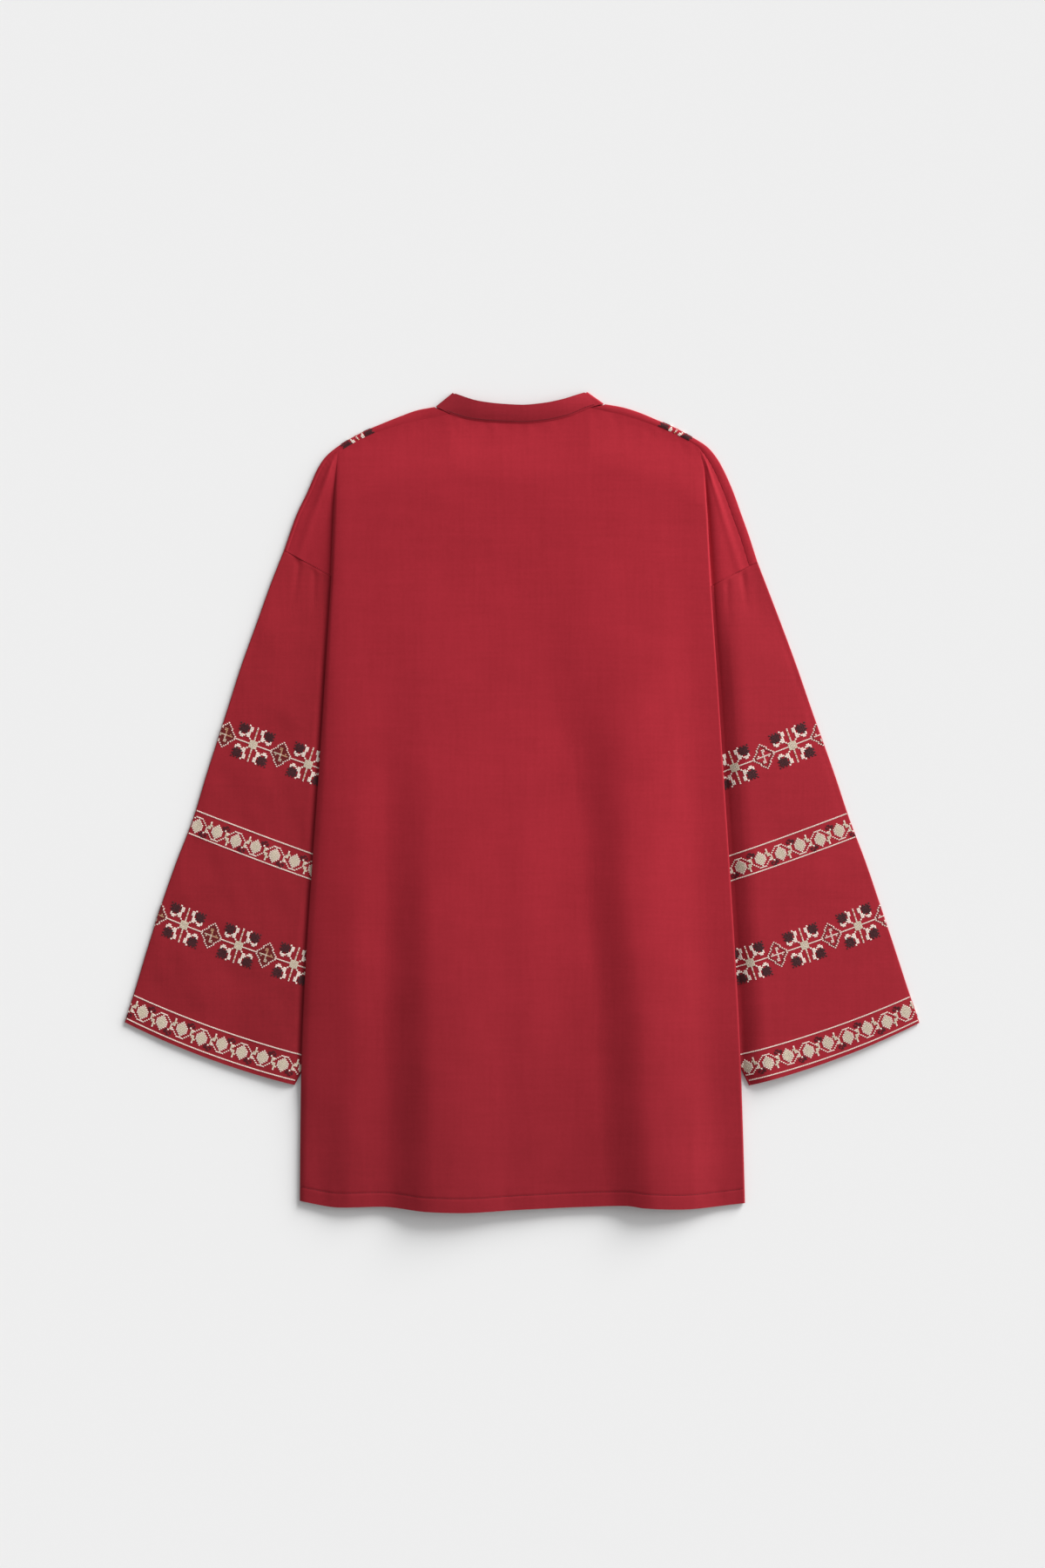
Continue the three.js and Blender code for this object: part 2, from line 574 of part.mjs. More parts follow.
// One section of the flattened tube: along the surface from the outer fold to the inner fold, round it,
// and back over the top. "down" is the share of the way from the armhole to the cuff.
function sleeveSection(side, section, down) {
  const outer = new THREE.Vector2(section.out, section.y);
  const inner = new THREE.Vector2(section.in, innerY(section));
  const across = inner.clone().sub(outer);
  const width = across.length();
  across.normalize();
  const along = new THREE.Vector2(-across.y, across.x);
  if (along.y > 0) along.negate();

  const point = (w, z) => {
    const bow = CUFF_BOW * down ** CUFF_BOW_GROWTH * 4 * (w / width) * (1 - w / width);
    const start = down === 0 ? SEAM : 0;
    const p = outer.clone().addScaledVector(across, w).addScaledVector(along, bow + start);
    return at(side, p.x, p.y, z);
  };

  const tangent = CLOTH / 2 + FOLD;
  let visible = width;
  for (let pass = 0; pass < VISIBLE_PASSES; pass += 1) {
    const bodySide = bodyOut(side, outer.y + across.y * visible) + SLEEVE_TUCK_CLEAR;
    visible = Math.min((bodySide - outer.x) / across.x, width - 2 * tangent);
  }
  const filled = smooth((side.sleeve[0].y - section.y) / SLEEVE_PUFF_START);
  const topHeight = (share) => {
    const climbed = clamp01(share / SLEEVE_CREST);
    return SECOND + SLEEVE_PUFF * filled * climbed * smooth((1 - share) / SLEEVE_TUCK);
  };

  const foldPoints = (centre, outwards) => FOLD_ANGLES.map((degrees) => {
    const angle = THREE.MathUtils.degToRad(degrees);
    return point(centre - outwards * FOLD * Math.sin(angle), FIRST + FOLD * (1 - Math.cos(angle)));
  });

  const ring = [
    ...foldPoints(tangent, 1).reverse(),
    ...SLEEVE_BOTTOM_SHARES.map((share) => point(width * share, FIRST)),
    ...foldPoints(width - tangent, -1),
    point((visible + width - tangent) / 2, SECOND),
    ...SLEEVE_TOP_SHARES.map((share) => point(visible * share, topHeight(share))),
  ];
  return [...ring, ring[0]];
}

function sleeve(side) {
  const count = (side.sleeve.length - 1) * SLEEVE_SUBROWS;
  const rows = [];
  for (let i = 0; i <= count; i += 1) {
    const k = Math.min(Math.floor(i / SLEEVE_SUBROWS), side.sleeve.length - 2);
    const t = i / SLEEVE_SUBROWS - k;
    const [section, next] = [side.sleeve[k], side.sleeve[k + 1]];
    const between = {
      out: mix(section.out, next.out, t),
      y: mix(section.y, next.y, t),
      in: mix(section.in, next.in, t),
      slope: mix(section.slope, next.slope, t),
    };
    rows.push(sleeveSection(side, between, i / count));
  }
  return [{ rows, flip: side.sign > 0 }];
}

// ---- collar ----------------------------------------------------------------------------------------

// Points across the band from its seam to its free edge.
function bandRow(seam, edge, puff) {
  const row = [];
  for (let i = 0; i < COLLAR_ROWS; i += 1) {
    const share = i / (COLLAR_ROWS - 1);
    const point = mixPoints(seam, edge, share);
    point.z += puff * Math.sin(Math.PI * share);
    row.push(point);
  }
  return row;
}

// The fold at one side of the neck, as rows from the half on the surface to the half above it.
function collarFold({ seamX, seamY, edgeX, edgeY }) {
  const outwards = new THREE.Vector2(edgeY - seamY, seamX - edgeX).normalize();
  if (Math.sign(outwards.x) !== Math.sign(seamX)) outwards.negate();
  return FOLD_ANGLES.map((degrees) => {
    const angle = THREE.MathUtils.degToRad(degrees);
    const inset = BAND / 2 + COLLAR_FOLD * (1 - Math.sin(angle));
    const z = COLLAR_FRONT + COLLAR_FOLD * (1 - Math.cos(angle));
    const seam = new THREE.Vector3(seamX - outwards.x * inset, seamY - outwards.y * inset, z);
    const edge = new THREE.Vector3(edgeX - outwards.x * inset, edgeY - outwards.y * inset, z);
    return bandRow(seam, edge, 0);
  });
}

// Half of the front of the band, from the centre front to where its fold starts.
function collarFrontHalf(fold) {
  const [seamEnd, edgeEnd] = [fold[0][0], fold[0][COLLAR_ROWS - 1]];
  const seamBottom = NECK_BOTTOM + SEAM;
  const edgeBottom = seamBottom + COLLAR_HEIGHT;
  const sign = Math.sign(seamEnd.x);
  const rows = [];
  for (let i = 0; i < NECK_COLUMNS; i += 1) {
    const angle = (Math.PI / 2) * (i / NECK_COLUMNS);
    const onCurve = (end, bottom) => new THREE.Vector3(
      sign * Math.max(Math.abs(end.x) * Math.sin(angle), COLLAR_END_GAP),
      end.y - (end.y - bottom) * Math.cos(angle),
      COLLAR_FRONT,
    );
    rows.push(bandRow(onCurve(seamEnd, seamBottom), onCurve(edgeEnd, edgeBottom), 0));
  }
  return rows;
}

function collar() {
  const leftFold = collarFold(COLLAR_BACK_HALF[0]);
  const rightFold = collarFold(COLLAR_BACK_HALF[COLLAR_BACK_HALF.length - 1]);
  const backRows = COLLAR_BACK_HALF.slice(1, -1).map(({ seamX, seamY, edgeX, edgeY }) => bandRow(
    new THREE.Vector3(seamX, seamY, COLLAR_BACK),
    new THREE.Vector3(edgeX, edgeY, COLLAR_BACK),
    COLLAR_BACK_PUFF,
  ));
  const rows = [
    ...collarFrontHalf(leftFold),
    ...leftFold,
    ...backRows,
    ...[...collarFrontHalf(rightFold), ...rightFold].reverse(),
  ];
  return [{ rows, flip: false }];
}

// ---- the garment -----------------------------------------------------------------------------------

const kurti = new THREE.Group();
kurti.name = 'embroidered_kurti';
kurti.add(
  clothPiece('back', RED, [...backHalf(LEFT), ...backHalf(RIGHT)]),
  clothPiece('front', RED, [...frontHalf(LEFT), ...frontHalf(RIGHT)]),
  clothPiece('sleeve_left', LEFT_RED, sleeve(LEFT)),
  clothPiece('sleeve_right', RIGHT_RED, sleeve(RIGHT)),
  clothPiece('collar', RED, collar(), BAND),
);

export default kurti;
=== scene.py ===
"""Looks of the embroidered kurti: fine cloth over the CAD solids, sewing, and cross stitch.

Lengths are millimetres in the CAD's frame, and meshes are written in metres: X runs across the
garment, +Y towards the neck, Z up from the surface that it rests on. "left" and "right" are the
wearer's, so the left side lies at -X. Distances "out" are measured from the centre line.
"""

import math

import bpy
import numpy as np
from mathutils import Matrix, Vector
from mathutils.bvhtree import BVHTree


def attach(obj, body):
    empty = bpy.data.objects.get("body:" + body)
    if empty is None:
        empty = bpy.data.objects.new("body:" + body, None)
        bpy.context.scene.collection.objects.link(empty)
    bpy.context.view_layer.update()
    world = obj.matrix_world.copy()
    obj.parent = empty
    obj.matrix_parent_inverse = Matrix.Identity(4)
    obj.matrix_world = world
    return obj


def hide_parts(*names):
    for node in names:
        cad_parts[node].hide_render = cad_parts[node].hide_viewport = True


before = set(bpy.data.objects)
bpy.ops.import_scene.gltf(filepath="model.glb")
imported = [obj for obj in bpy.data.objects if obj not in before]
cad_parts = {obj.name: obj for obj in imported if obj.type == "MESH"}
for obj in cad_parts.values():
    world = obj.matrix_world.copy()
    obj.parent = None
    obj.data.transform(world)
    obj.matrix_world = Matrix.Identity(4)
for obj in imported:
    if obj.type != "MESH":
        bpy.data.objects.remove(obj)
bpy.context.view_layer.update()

MM = 0.001

# ---- cloth layers, as in the CAD

CLOTH = 1.0  # thickness of the body and sleeve cloth
BAND = 1.4  # thickness of the doubled collar band
SEAM = 0.03  # the sewn edges all but touch; the CAD solids keep 0.3 between them
AIR = 0.4  # least clear space between two layers
FIRST = CLOTH / 2  # mid-height of a layer that lies on the surface
RISE = CLOTH + AIR  # from the middle of one layer to the middle of the next
SECOND = FIRST + RISE
FOLD = RISE / 2  # radius of a folded edge, at the middle of the cloth
QUARTER_FOLD = FOLD * math.pi / 2
OVER_SLEEVE = 2 * RISE  # how far the front panel climbs to lie on a flat sleeve

NECK_BOTTOM = 305  # Y of the front neckline at the centre
SLIT_BOTTOM = 155  # Y of the lower end of the centre front slit
SLIT_HALF_GAP = 0.4
UNDERARM_CENTRE = 217.7  # Y at the centre line of the row that passes the underarms
BELOW_HEM = -410
SHOULDER_END = 6  # station where the visible side of the body starts
SHOULDER_STATIONS = 6  # stations from there to the armhole's end

# Height of the middle of the back panel: at the neck, in the middle, along the side, where it lies on
# the sleeve, and at the hem corner, where it doesn't.
BACK_NECK = FIRST + BAND + AIR + 0.2
BACK_CENTRE = 5.2
BACK_SIDE = 5.8
BACK_HEM_CORNER = 4.2
BACK_RISE_LENGTH = 60  # the back rises from its shoulder seam over this length
SIDE_RISE_WIDTH = 52  # and towards its side over this width,
SIDE_FLAT = 14  # up to this far inside the side
SIDE_SEAM_RISE = 1.2  # the back's lower edge lies this far above the front's
STEP_SEAM_SHARE = 0.5  # above the underarm the seam line is halfway down the step
OVER_FRONT_SPARE = 0.1  # clear space between back and front, beyond AIR

COLLAR_FOLD = (BAND + AIR + 0.1) / 2
COLLAR_FRONT = BAND / 2
COLLAR_BACK = COLLAR_FRONT + 2 * COLLAR_FOLD
COLLAR_HEIGHT = 20
COLLAR_END_GAP = 0.6  # half the gap between its ends at the centre front

SLEEVE_TUCK_CLEAR = 3  # the sleeve is flat this far outside the body's side
CUFF_BOW = 5  # how far the middle of the cuff hangs below its ends
CUFF_BOW_GROWTH = 2.6
RAMP_FOOT = 24  # the front climbs onto the hidden part of the sleeve between these
RAMP_TOP = 2  # distances inside its fold
FRONT_SIDE_INSET = 1.0  # the front's edge lies this far inside the body's side
CORNER_ROW = 10  # below the underarm the front's edge first keeps beside the sleeve
CORNER_CLEAR = 1.1
CUFF_RAMP_TOP = -268  # it comes down to the surface below the cuff, between these two Y
CUFF_RAMP_FOOT = -304
HEM_CORNER_START = 20  # the back's side is all the way down this far below them

# Hem: x and y of the edge.
HEM = [(-221, -393.4), (-179, -399.9), (-140, -399.1), (-92, -403.8), (-60, -404.7), (0, -401.8),
       (60, -399.3), (103, -398.1), (122, -400.3), (156, -401.4), (222, -395.6)]

# Back half of the collar: seam x, y and free edge x, y.
COLLAR_BACK_HALF = [
    (-85.0, 390.3, -68.4, 403.8), (-71.0, 383.1, -59.0, 400.3), (-50.3, 377.1, -43.0, 395.5),
    (-23.7, 374.5, -20.5, 392.6), (0, 373.7, 0, 391.6), (21.9, 375.4, 19.5, 393.2),
    (43.4, 379.7, 37.5, 396.6), (67.5, 389.2, 54.5, 401.8), (80.4, 393.1, 64.1, 404.6),
]

# Shoulder stations from the neck to the armhole: out and y of the folded edge, out and y of the seam.
# Underarm: out, y. Body side: y, out. Sleeve sections from armhole to cuff: out and y of the outer
# fold, out of the inner fold, and slope towards the body in degrees.
LEFT_TABLES = {
    "shoulder": [
        (87.0, 389.4, 71.3, 382.6), (102.8, 386.6, 97.0, 377.5), (120.0, 380.6, 115.5, 373.0),
        (137.2, 373.7, 133.5, 368.1), (154.4, 366.4, 151.0, 362.0), (171.6, 357.3, 168.5, 354.0),
        (184.6, 348.8, 182.0, 346.5), (194.5, 340.0, 191.6, 338.0), (201.5, 329.5, 198.5, 327.8),
        (212.0, 305.7, 209.0, 304.3), (222.3, 284.2, 219.3, 282.8), (230.1, 262.7, 227.0, 261.2),
        (234.9, 248.6, 231.8, 246.9),
    ],
    "underarm": (188.5, 222.8),
    "body_side": [(348, 182.0), (310, 184.6), (223, 188.4), (95, 196.3), (-291, 218.4), (-410, 219.6)],
    "sleeve": [
        (234.9, 248.6, 188.5, 29.1), (246.4, 219.7, 171.2, 27.9), (261.9, 176.7, 160.0, 26.0),
        (277.4, 133.7, 157.0, 25.0), (291.1, 90.7, 156.0, 24.0), (311.8, 26.2, 161.0, 23.0),
        (324.9, -16.8, 167.0, 22.0), (341.5, -59.8, 174.3, 21.5), (356.5, -102.8, 184.0, 21.0),
        (370.2, -145.8, 195.5, 20.7), (383.1, -188.8, 211.0, 20.5), (392.2, -217.4, 224.5, 20.3),
    ],
}
RIGHT_TABLES = {
    "shoulder": [
        (82.6, 392.0, 67.8, 388.6), (98.0, 389.6, 93.5, 383.0), (115.0, 384.5, 111.0, 378.1),
        (132.0, 377.4, 127.5, 372.4), (149.0, 370.2, 145.0, 365.7), (166.0, 361.0, 161.0, 358.0),
        (183.0, 350.0, 175.0, 349.0), (192.2, 339.3, 184.5, 337.0), (199.1, 327.2, 191.5, 324.0),
        (208.6, 305.7, 200.8, 302.2), (216.3, 284.2, 208.6, 280.8), (224.0, 262.7, 216.6, 259.0),
        (232.2, 237.1, 224.6, 233.1),
    ],
    "underarm": (186.5, 213.0),
    "body_side": [(348, 178.5), (310, 181.0), (213, 186.4), (95, 194.4), (-291, 216.9), (-410, 220.4)],
    "sleeve": [
        (232.2, 237.1, 186.5, 27.8), (243.0, 209.0, 168.5, 27.2), (256.0, 175.0, 160.5, 26.0),
        (271.2, 133.7, 157.5, 25.0), (286.0, 90.7, 156.0, 24.0), (308.9, 26.2, 161.0, 23.0),
        (323.2, -16.8, 167.0, 22.0), (339.4, -59.8, 174.3, 21.5), (354.0, -102.8, 184.0, 21.0),
        (368.3, -145.8, 195.5, 20.7), (382.3, -188.8, 211.0, 20.5), (392.2, -218.0, 224.0, 20.2),
    ],
}

# ---- soft shapes that only the looks have

# Long soft folds of the back: the line of the crest from its top to the hem, the width of its left
# flank at the top and at the hem, the width of its right flank, its height at the hem, and the length
# below its top over which it grows.
BACK_FOLDS = [
    {"crest": [(-92, 205), (-87, -50), (-86, -405)],
     "left_top": 50, "left": 50, "right": 120, "height": 7.4, "growth": 360},
    {"crest": [(114, 350), (112, 190), (108, 60), (107, -68), (120, -197), (127, -326), (132, -405)],
     "left_top": 150, "left": 50, "right": 84, "height": 7.6, "growth": 400},
    {"crest": [(-165, 160), (-168, -405)],
     "left_top": 50, "left": 50, "right": 34, "height": 1.6, "growth": 300},
    {"crest": [(6, 150), (12, -405)],
     "left_top": 34, "left": 34, "right": 44, "height": 1.2, "growth": 300},
]
FOLD_SHARE_AT_SIDE = 0.4  # share of their height that the folds keep at the body's side
DOME = 1.2  # the back stands this much higher in the middle than towards its sides
DOME_HALF_WIDTH = 230

# The back swells up from its left side: y, height, and the length over which it comes up. The swell
# runs out between two places across the body.
LEFT_SWELL = [
    (350, 1.2, 3.0), (190, 2.0, 6.0), (18, 4.2, 10.0), (-154, 5.0, 15.0), (-260, 3.4, 15.0),
    (-410, 0.4, 15.0),
]
SWELL_FULL_TO = -20
SWELL_END = 190

# Waves and puckers: height, seed, size, and what the distance down the garment is scaled by.
BACK_WAVES = [(0.5, 3, 130, 1), (0.08, 5, 44, 1)]
SLEEVE_WAVES = [(0.5, 17, 95, 1), (0.14, 23, 40, 1)]
SHOULDER_PUCKERS = [(0.22, 13, 11, 0.2)]
ARMHOLE_PUCKERS = [(0.3, 31, 15, 0.25)]
HEM_PUCKERS = [(0.16, 11, 11, 0.15)]
PUCKER_PLACE = 5  # those along the shoulder are highest this far below its seam
PUCKER_LENGTH = 7
PUCKER_START = 3  # and fade out over this length at the seam itself
SLEEVE_PUCKER_LENGTH = 30
SLEEVE_PUCKER_START = 4

EDGE_ROLLS = {"left": (3, 7), "right": (1.3, 1.5)}  # widths of the rolled side, at shoulder and hem
ROLL_GROWTH = 260  # the first turns into the second over this length
STEP_WIDTH = 1.0  # the back comes down to the shoulder's end over this width
SEAM_DIP = 0.25  # the cloth dips this much along the armhole seam
SEAM_DIP_WIDTH = 1.5
SEAM_DIP_LEAST = 4  # where the shoulder's end is narrower than this, it dips less
UNDERARM_CLOSE = 0.25  # the shoulder's end comes down this much to meet the sleeve at the underarm,
UNDERARM_CLOSE_FROM = 0.9  # over the rest of its length from here
STRIP_PUFF = 0.35  # the strip above the shoulder seam swells this much

# The sleeve and the shoulder's end come up out of the gap beside the body: height and length of the rise.
GAP_RISES = {"left": (0.0, 5.0), "right": (2.5, 4.0)}
GAP_BED = 3.4  # the shoulder's end stays down over this width
GAP_RISE_FALL = 34  # and comes down again over this width beside the shoulder seam

FLAP_PUFF = 1.4  # puff of the shoulder's end where it is this wide or more
FLAP_FULL_WIDTH = 30
FLAP_DETAILS_START = 1 / 8  # puckers and crease come in over this share of its length
FLAP_PUCKERS = {"height": 0.22, "turns": 95, "width": 9}
# Its crease: place, drift and width are shares of its width, and start is a share of its length.
FLAP_CREASE = {"height": 0.7, "place": 0.55, "drift": 0.2, "width": 0.1, "start": 1 / 4, "full_width": 12}

SLEEVE_PUFFS = {"left": 1.4, "right": 6.0}
SLEEVE_RISES = {"left": 7, "right": 25}  # it rises out of the gap beside the body over this width
SLEEVE_RISE_SHARE = 0.6  # or this share of what shows of it
SLEEVE_PUFF_START = 110  # it fills out over this length below the armhole
SLEEVE_ROLL = 9  # and over this width from its outer fold
# Short creases run down from the armhole seam at these shares of the width.
SLEEVE_CREASES = {"places": (0.36, 0.7), "drift": 0.12, "depth": 0.8, "width": 3.6, "start": 6,
                  "length": 52}

COLLAR_BACK_PUFF = 0.7
COLLAR_LIFT = 3.0  # the free edge stands this much above the seam at the back of the neck
COLLAR_LIFT_START = 2.3  # stations of the collar's table over which it comes up from each fold


def smooth(t):
    t = np.clip(t, 0, 1)
    return t * t * (3 - 2 * t)


def mix(a, b, t):
    return a + (b - a) * t


def bell(distance, width):
    return np.exp(-(distance / width) ** 2)


def curve(xs, ys):
    """Smooth curve through a table's points that never swings past them (monotone cubic)."""
    xs, ys = np.asarray(xs, float), np.asarray(ys, float)
    if xs[0] > xs[-1]:
        xs, ys = xs[::-1], ys[::-1]
    step = np.diff(xs)
    slope = np.diff(ys) / step
    tangent = np.concatenate([slope[:1], np.zeros(len(xs) - 2), slope[-1:]])
    for i in range(1, len(xs) - 1):
        if slope[i - 1] * slope[i] > 0:
            before, after = 2 * step[i] + step[i - 1], step[i] + 2 * step[i - 1]
            tangent[i] = (before + after) / (before / slope[i - 1] + after / slope[i])

    def value_at(x):
        x = np.asarray(x, float)
        i = np.clip(np.searchsorted(xs, x) - 1, 0, len(step) - 1)
        t = np.clip((x - xs[i]) / step[i], 0, 1)
        a, b = ys[i], ys[i + 1]
        return (a + (b - a) * t * t * (3 - 2 * t)
                + step[i] * t * (1 - t) * (tangent[i] * (1 - t) - tangent[i + 1] * t))

    return value_at


def curves(xs, columns):
    """Smooth curves through several columns of a table, as one function that gives points."""
    parts = [curve(xs, column) for column in columns]
    return lambda x: np.stack([part(x) for part in parts], axis=-1)


def steps(count):
    """Shares of the way after each of some equal steps, up to 1."""
    return np.linspace(0, 1, count + 1)[1:]


def ripple(x, y, seed, size):
    """Smooth hand-made noise from a few crossed waves, between about -1 and 1."""
    rng = np.random.default_rng(seed)
    total = 0
    for _ in range(7):
        angle, phase, scale = rng.uniform(0, math.pi), rng.uniform(0, 2 * math.pi), rng.uniform(0.6, 1.7)
        total = total + np.sin((x * math.cos(angle) + y * math.sin(angle)) * 2 * math.pi / (size * scale)
                               + phase)
    return total / 4


def waves(x, y, rows, shift=0):
    """Sum of the ripples in a table's rows, with their seeds shifted."""
    return sum(height * ripple(x, y * scale, seed + shift, size) for height, seed, size, scale in rows)


def lengths_along(x, y):
    """Distance of each point of a line from its first one, along the line."""
    return np.concatenate([[0], np.cumsum(np.hypot(np.diff(x), np.diff(y)))])


def unit(vectors):
    return vectors / np.linalg.norm(vectors, axis=-1, keepdims=True)


# ---- where the pieces lie

hem_at = curve(*zip(*HEM))


class Side:
    """One side of the garment, with smooth curves through its tables."""

    def __init__(self, sign, tables):
        self.sign = sign
        self.name = "left" if sign < 0 else "right"
        self.rolls = EDGE_ROLLS[self.name]
        shoulder = np.array(tables["shoulder"])
        stations = np.arange(len(shoulder))
        self.edge_at = curves(stations, shoulder[:, :2].T)
        self.seam_at = curves(stations, shoulder[:, 2:].T)
        self.seam_y_at = curve(shoulder[:, 2], shoulder[:, 3])
        self.neck_seam_out, self.next_seam_out = shoulder[0, 2], shoulder[1, 2]
        self.shoulder_out = shoulder[SHOULDER_END, 2]
        self.shoulder_y = shoulder[SHOULDER_END, 3]
        self.strip_width = np.hypot(*(shoulder[-1, :2] - shoulder[-1, 2:]))
        self.underarm_out, self.underarm_y = tables["underarm"]
        self.body_out = curve(*zip(*tables["body_side"]))
        out, y, inner, slope = np.array(tables["sleeve"]).T
        along = lengths_along(out, y)
        self.sleeve_length = along[-1]
        self.sleeve_out, self.sleeve_y, self.sleeve_in, self.sleeve_slope = (
            curve(along, column) for column in (out, y, inner, slope))
        inner_y = y - (out - inner) * np.tan(np.radians(slope))
        self.inner_at = curve(inner_y, inner)

    def front_height(self, out, y):
        """Mid-height of the front panel, which climbs onto the hidden part of the sleeve."""
        across = smooth((out - self.inner_at(y) + RAMP_FOOT) / (RAMP_FOOT - RAMP_TOP))
        near_underarm = smooth((self.underarm_y - y) / CORNER_ROW)
        near_cuff = smooth((y - CUFF_RAMP_FOOT) / (CUFF_RAMP_TOP - CUFF_RAMP_FOOT))
        return FIRST + OVER_SLEEVE * across * near_underarm * near_cuff

    def underarm_line(self, out):
        return mix(UNDERARM_CENTRE, self.underarm_y, out / self.underarm_out)

    def body_row(self, out, share):
        return mix(self.underarm_line(out), hem_at(self.sign * out), share)

    def back_top(self, out):
        collar = np.array(COLLAR_BACK_HALF)
        at_neck = curve(collar[:, 0], collar[:, 1])(self.sign * out)
        at_shoulder = self.seam_y_at(out)
        return np.where(out > self.neck_seam_out - SEAM, at_shoulder, at_neck) - SEAM

    def xyz(self, out, y, z):
        return np.stack(np.broadcast_arrays(self.sign * out, y, z), axis=-1)


SIDES = {"left": Side(-1, LEFT_TABLES), "right": Side(1, RIGHT_TABLES)}


# ---- meshes

def weld(patches):
    """Points and faces of patches of points, joined where points fall together."""
    grids = [(np.asarray(rows, float), flip) for rows, flip in patches]
    points = np.concatenate([rows.reshape(-1, 3) for rows, _ in grids])
    _, first, index = np.unique(np.round(points, 2), axis=0, return_index=True, return_inverse=True)
    index = index.reshape(-1)
    faces, start = [], 0
    for rows, flip in grids:
        n, m = rows.shape[:2]
        number = index[start:start + n * m].reshape(n, m)
        start += n * m
        quads = np.stack([number[:-1, :-1], number[1:, :-1], number[1:, 1:], number[:-1, 1:]], axis=-1)
        quads = quads.reshape(-1, 4)
        faces.append(quads[:, ::-1] if flip else quads)
    return points[first], np.concatenate(faces)


def wall(patches, thickness):
    """Vertices and faces of a closed wall of cloth round the middle surface that the patches give."""
    points, quads = weld(patches)
    quads = [tuple(dict.fromkeys(quad)) for quad in quads.tolist()]
    quads = [quad for quad in quads if len(quad) > 2]
    normals = np.zeros_like(points)
    for size in (3, 4):
        group = np.array([quad for quad in quads if len(quad) == size])
        if not len(group):
            continue
        diagonals = points[group[:, 2]] - points[group[:, 0]], points[group[:, -1]] - points[group[:, 1]]
        face_normals = np.cross(*diagonals)
        for corner in range(size):
            np.add.at(normals, group[:, corner], face_normals)
    normals /= np.maximum(np.linalg.norm(normals, axis=1, keepdims=True), 1e-9)
    vertices = np.concatenate([points + normals * thickness / 2, points - normals * thickness / 2])
    under = len(points)
    edges = {(quad[i], quad[(i + 1) % len(quad)]) for quad in quads for i in range(len(quad))}
    faces = quads + [tuple(under + i for i in reversed(quad)) for quad in quads]
    faces += [(b, a, under + a, under + b) for a, b in edges if (b, a) not in edges]
    return vertices, faces


SHARP_EDGE = math.radians(55)


def in_scene(name, data):
    obj = bpy.data.objects.new(name, data)
    bpy.context.scene.collection.objects.link(obj)
    return obj


def piece(name, vertices, faces, material, slot):
    mesh = bpy.data.meshes.new(name)
    mesh.from_pydata((vertices * MM).tolist(), [], faces)
    mesh.validate()
    mesh.shade_smooth()
    mesh.set_sharp_from_angle(angle=SHARP_EDGE)
    mesh.materials.append(material)
    obj = in_scene(name, mesh)
    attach(obj, "root")
    return obj


# ---- back panel

BACK_CELL = 2.4
BACK_ROW = 4.2
BACK_TOP_ROWS = 38  # rows from the neck and shoulder to the underarm
BACK_TOP_CROWDING = 1.15  # they lie closer together at the top
TOP_GAP_CLOSING = 6  # the body's side and the shoulder's end part over 1 / 6 of these rows
EDGE_INSETS = np.array([24, 21, 18.5, 16, 14, 12, 10, 8.4, 7, 5.8, 4.7, 3.8, 3, 2.3, 1.7, 1.2, 0.9,
                        0.65, 0.5])
FLAP_COLUMNS = 30
HEM_STITCH = 14  # the hem's row of stitches runs this far above its edge
HEM_ROWS = np.array([24, 20.5, 18, 16.4, 15.4, 14.7, 14, 13.3, 12.6, 11.6, 9.8, 7.5, 5, 3, 1.6, 0.7, 0])
HEM_PRESS = 0.34  # it is pressed in this deep
HEM_PRESS_WIDTH = 0.9


def fold_height(x, y):
    total = 0
    for fold in BACK_FOLDS:
        xs, ys = zip(*fold["crest"])
        offset = x - curve(ys, xs)(y)
        grown = smooth((ys[0] - y) / fold["growth"])
        flank = np.where(offset < 0, mix(fold["left_top"], fold["left"], grown), fold["right"])
        across = np.clip(np.abs(offset) / flank, 0, 1)
        total = total + fold["height"] * grown * (1 + np.cos(np.pi * across)) / 2
    return total


def left_swell(x, y):
    ys, heights, lengths = zip(*LEFT_SWELL)
    from_edge = np.maximum(x + SIDES["left"].body_out(y), 0)
    rise = 1 - np.exp(-from_edge / curve(ys, lengths)(y))
    return curve(ys, heights)(y) * rise * (1 - smooth((x - SWELL_FULL_TO) / (SWELL_END - SWELL_FULL_TO)))


def back_height(side, out, y):
    """Mid-height of the back panel."""
    x = side.sign * out
    from_neck = (out - side.neck_seam_out) / (side.next_seam_out - side.neck_seam_out)
    seam_height = mix(BACK_NECK, SECOND, np.clip(from_neck, 0, 1))
    corner_end = CUFF_RAMP_FOOT - HEM_CORNER_START
    beside_cuff = smooth((y - corner_end) / (CUFF_RAMP_TOP - corner_end))
    side_height = mix(BACK_HEM_CORNER, BACK_SIDE, beside_cuff)
    to_side = smooth((out - side.body_out(y) + SIDE_RISE_WIDTH) / (SIDE_RISE_WIDTH - SIDE_FLAT))
    dome = DOME * (1 - (out / DOME_HALF_WIDTH) ** 2)
    full = (mix(BACK_CENTRE + dome, side_height, to_side) + left_swell(x, y)
            + (fold_height(x, y) + waves(x, y, BACK_WAVES)) * mix(1, FOLD_SHARE_AT_SIDE, to_side))
    below_seam = side.back_top(out) - y
    pucker = waves(x, y, SHOULDER_PUCKERS) * bell(below_seam - PUCKER_PLACE, PUCKER_LENGTH)
    risen = smooth(below_seam / BACK_RISE_LENGTH)
    height = mix(seam_height, full, risen) + pucker * smooth(below_seam / PUCKER_START)
    return np.maximum(height, side.front_height(out, y) + RISE + OVER_FRONT_SPARE)


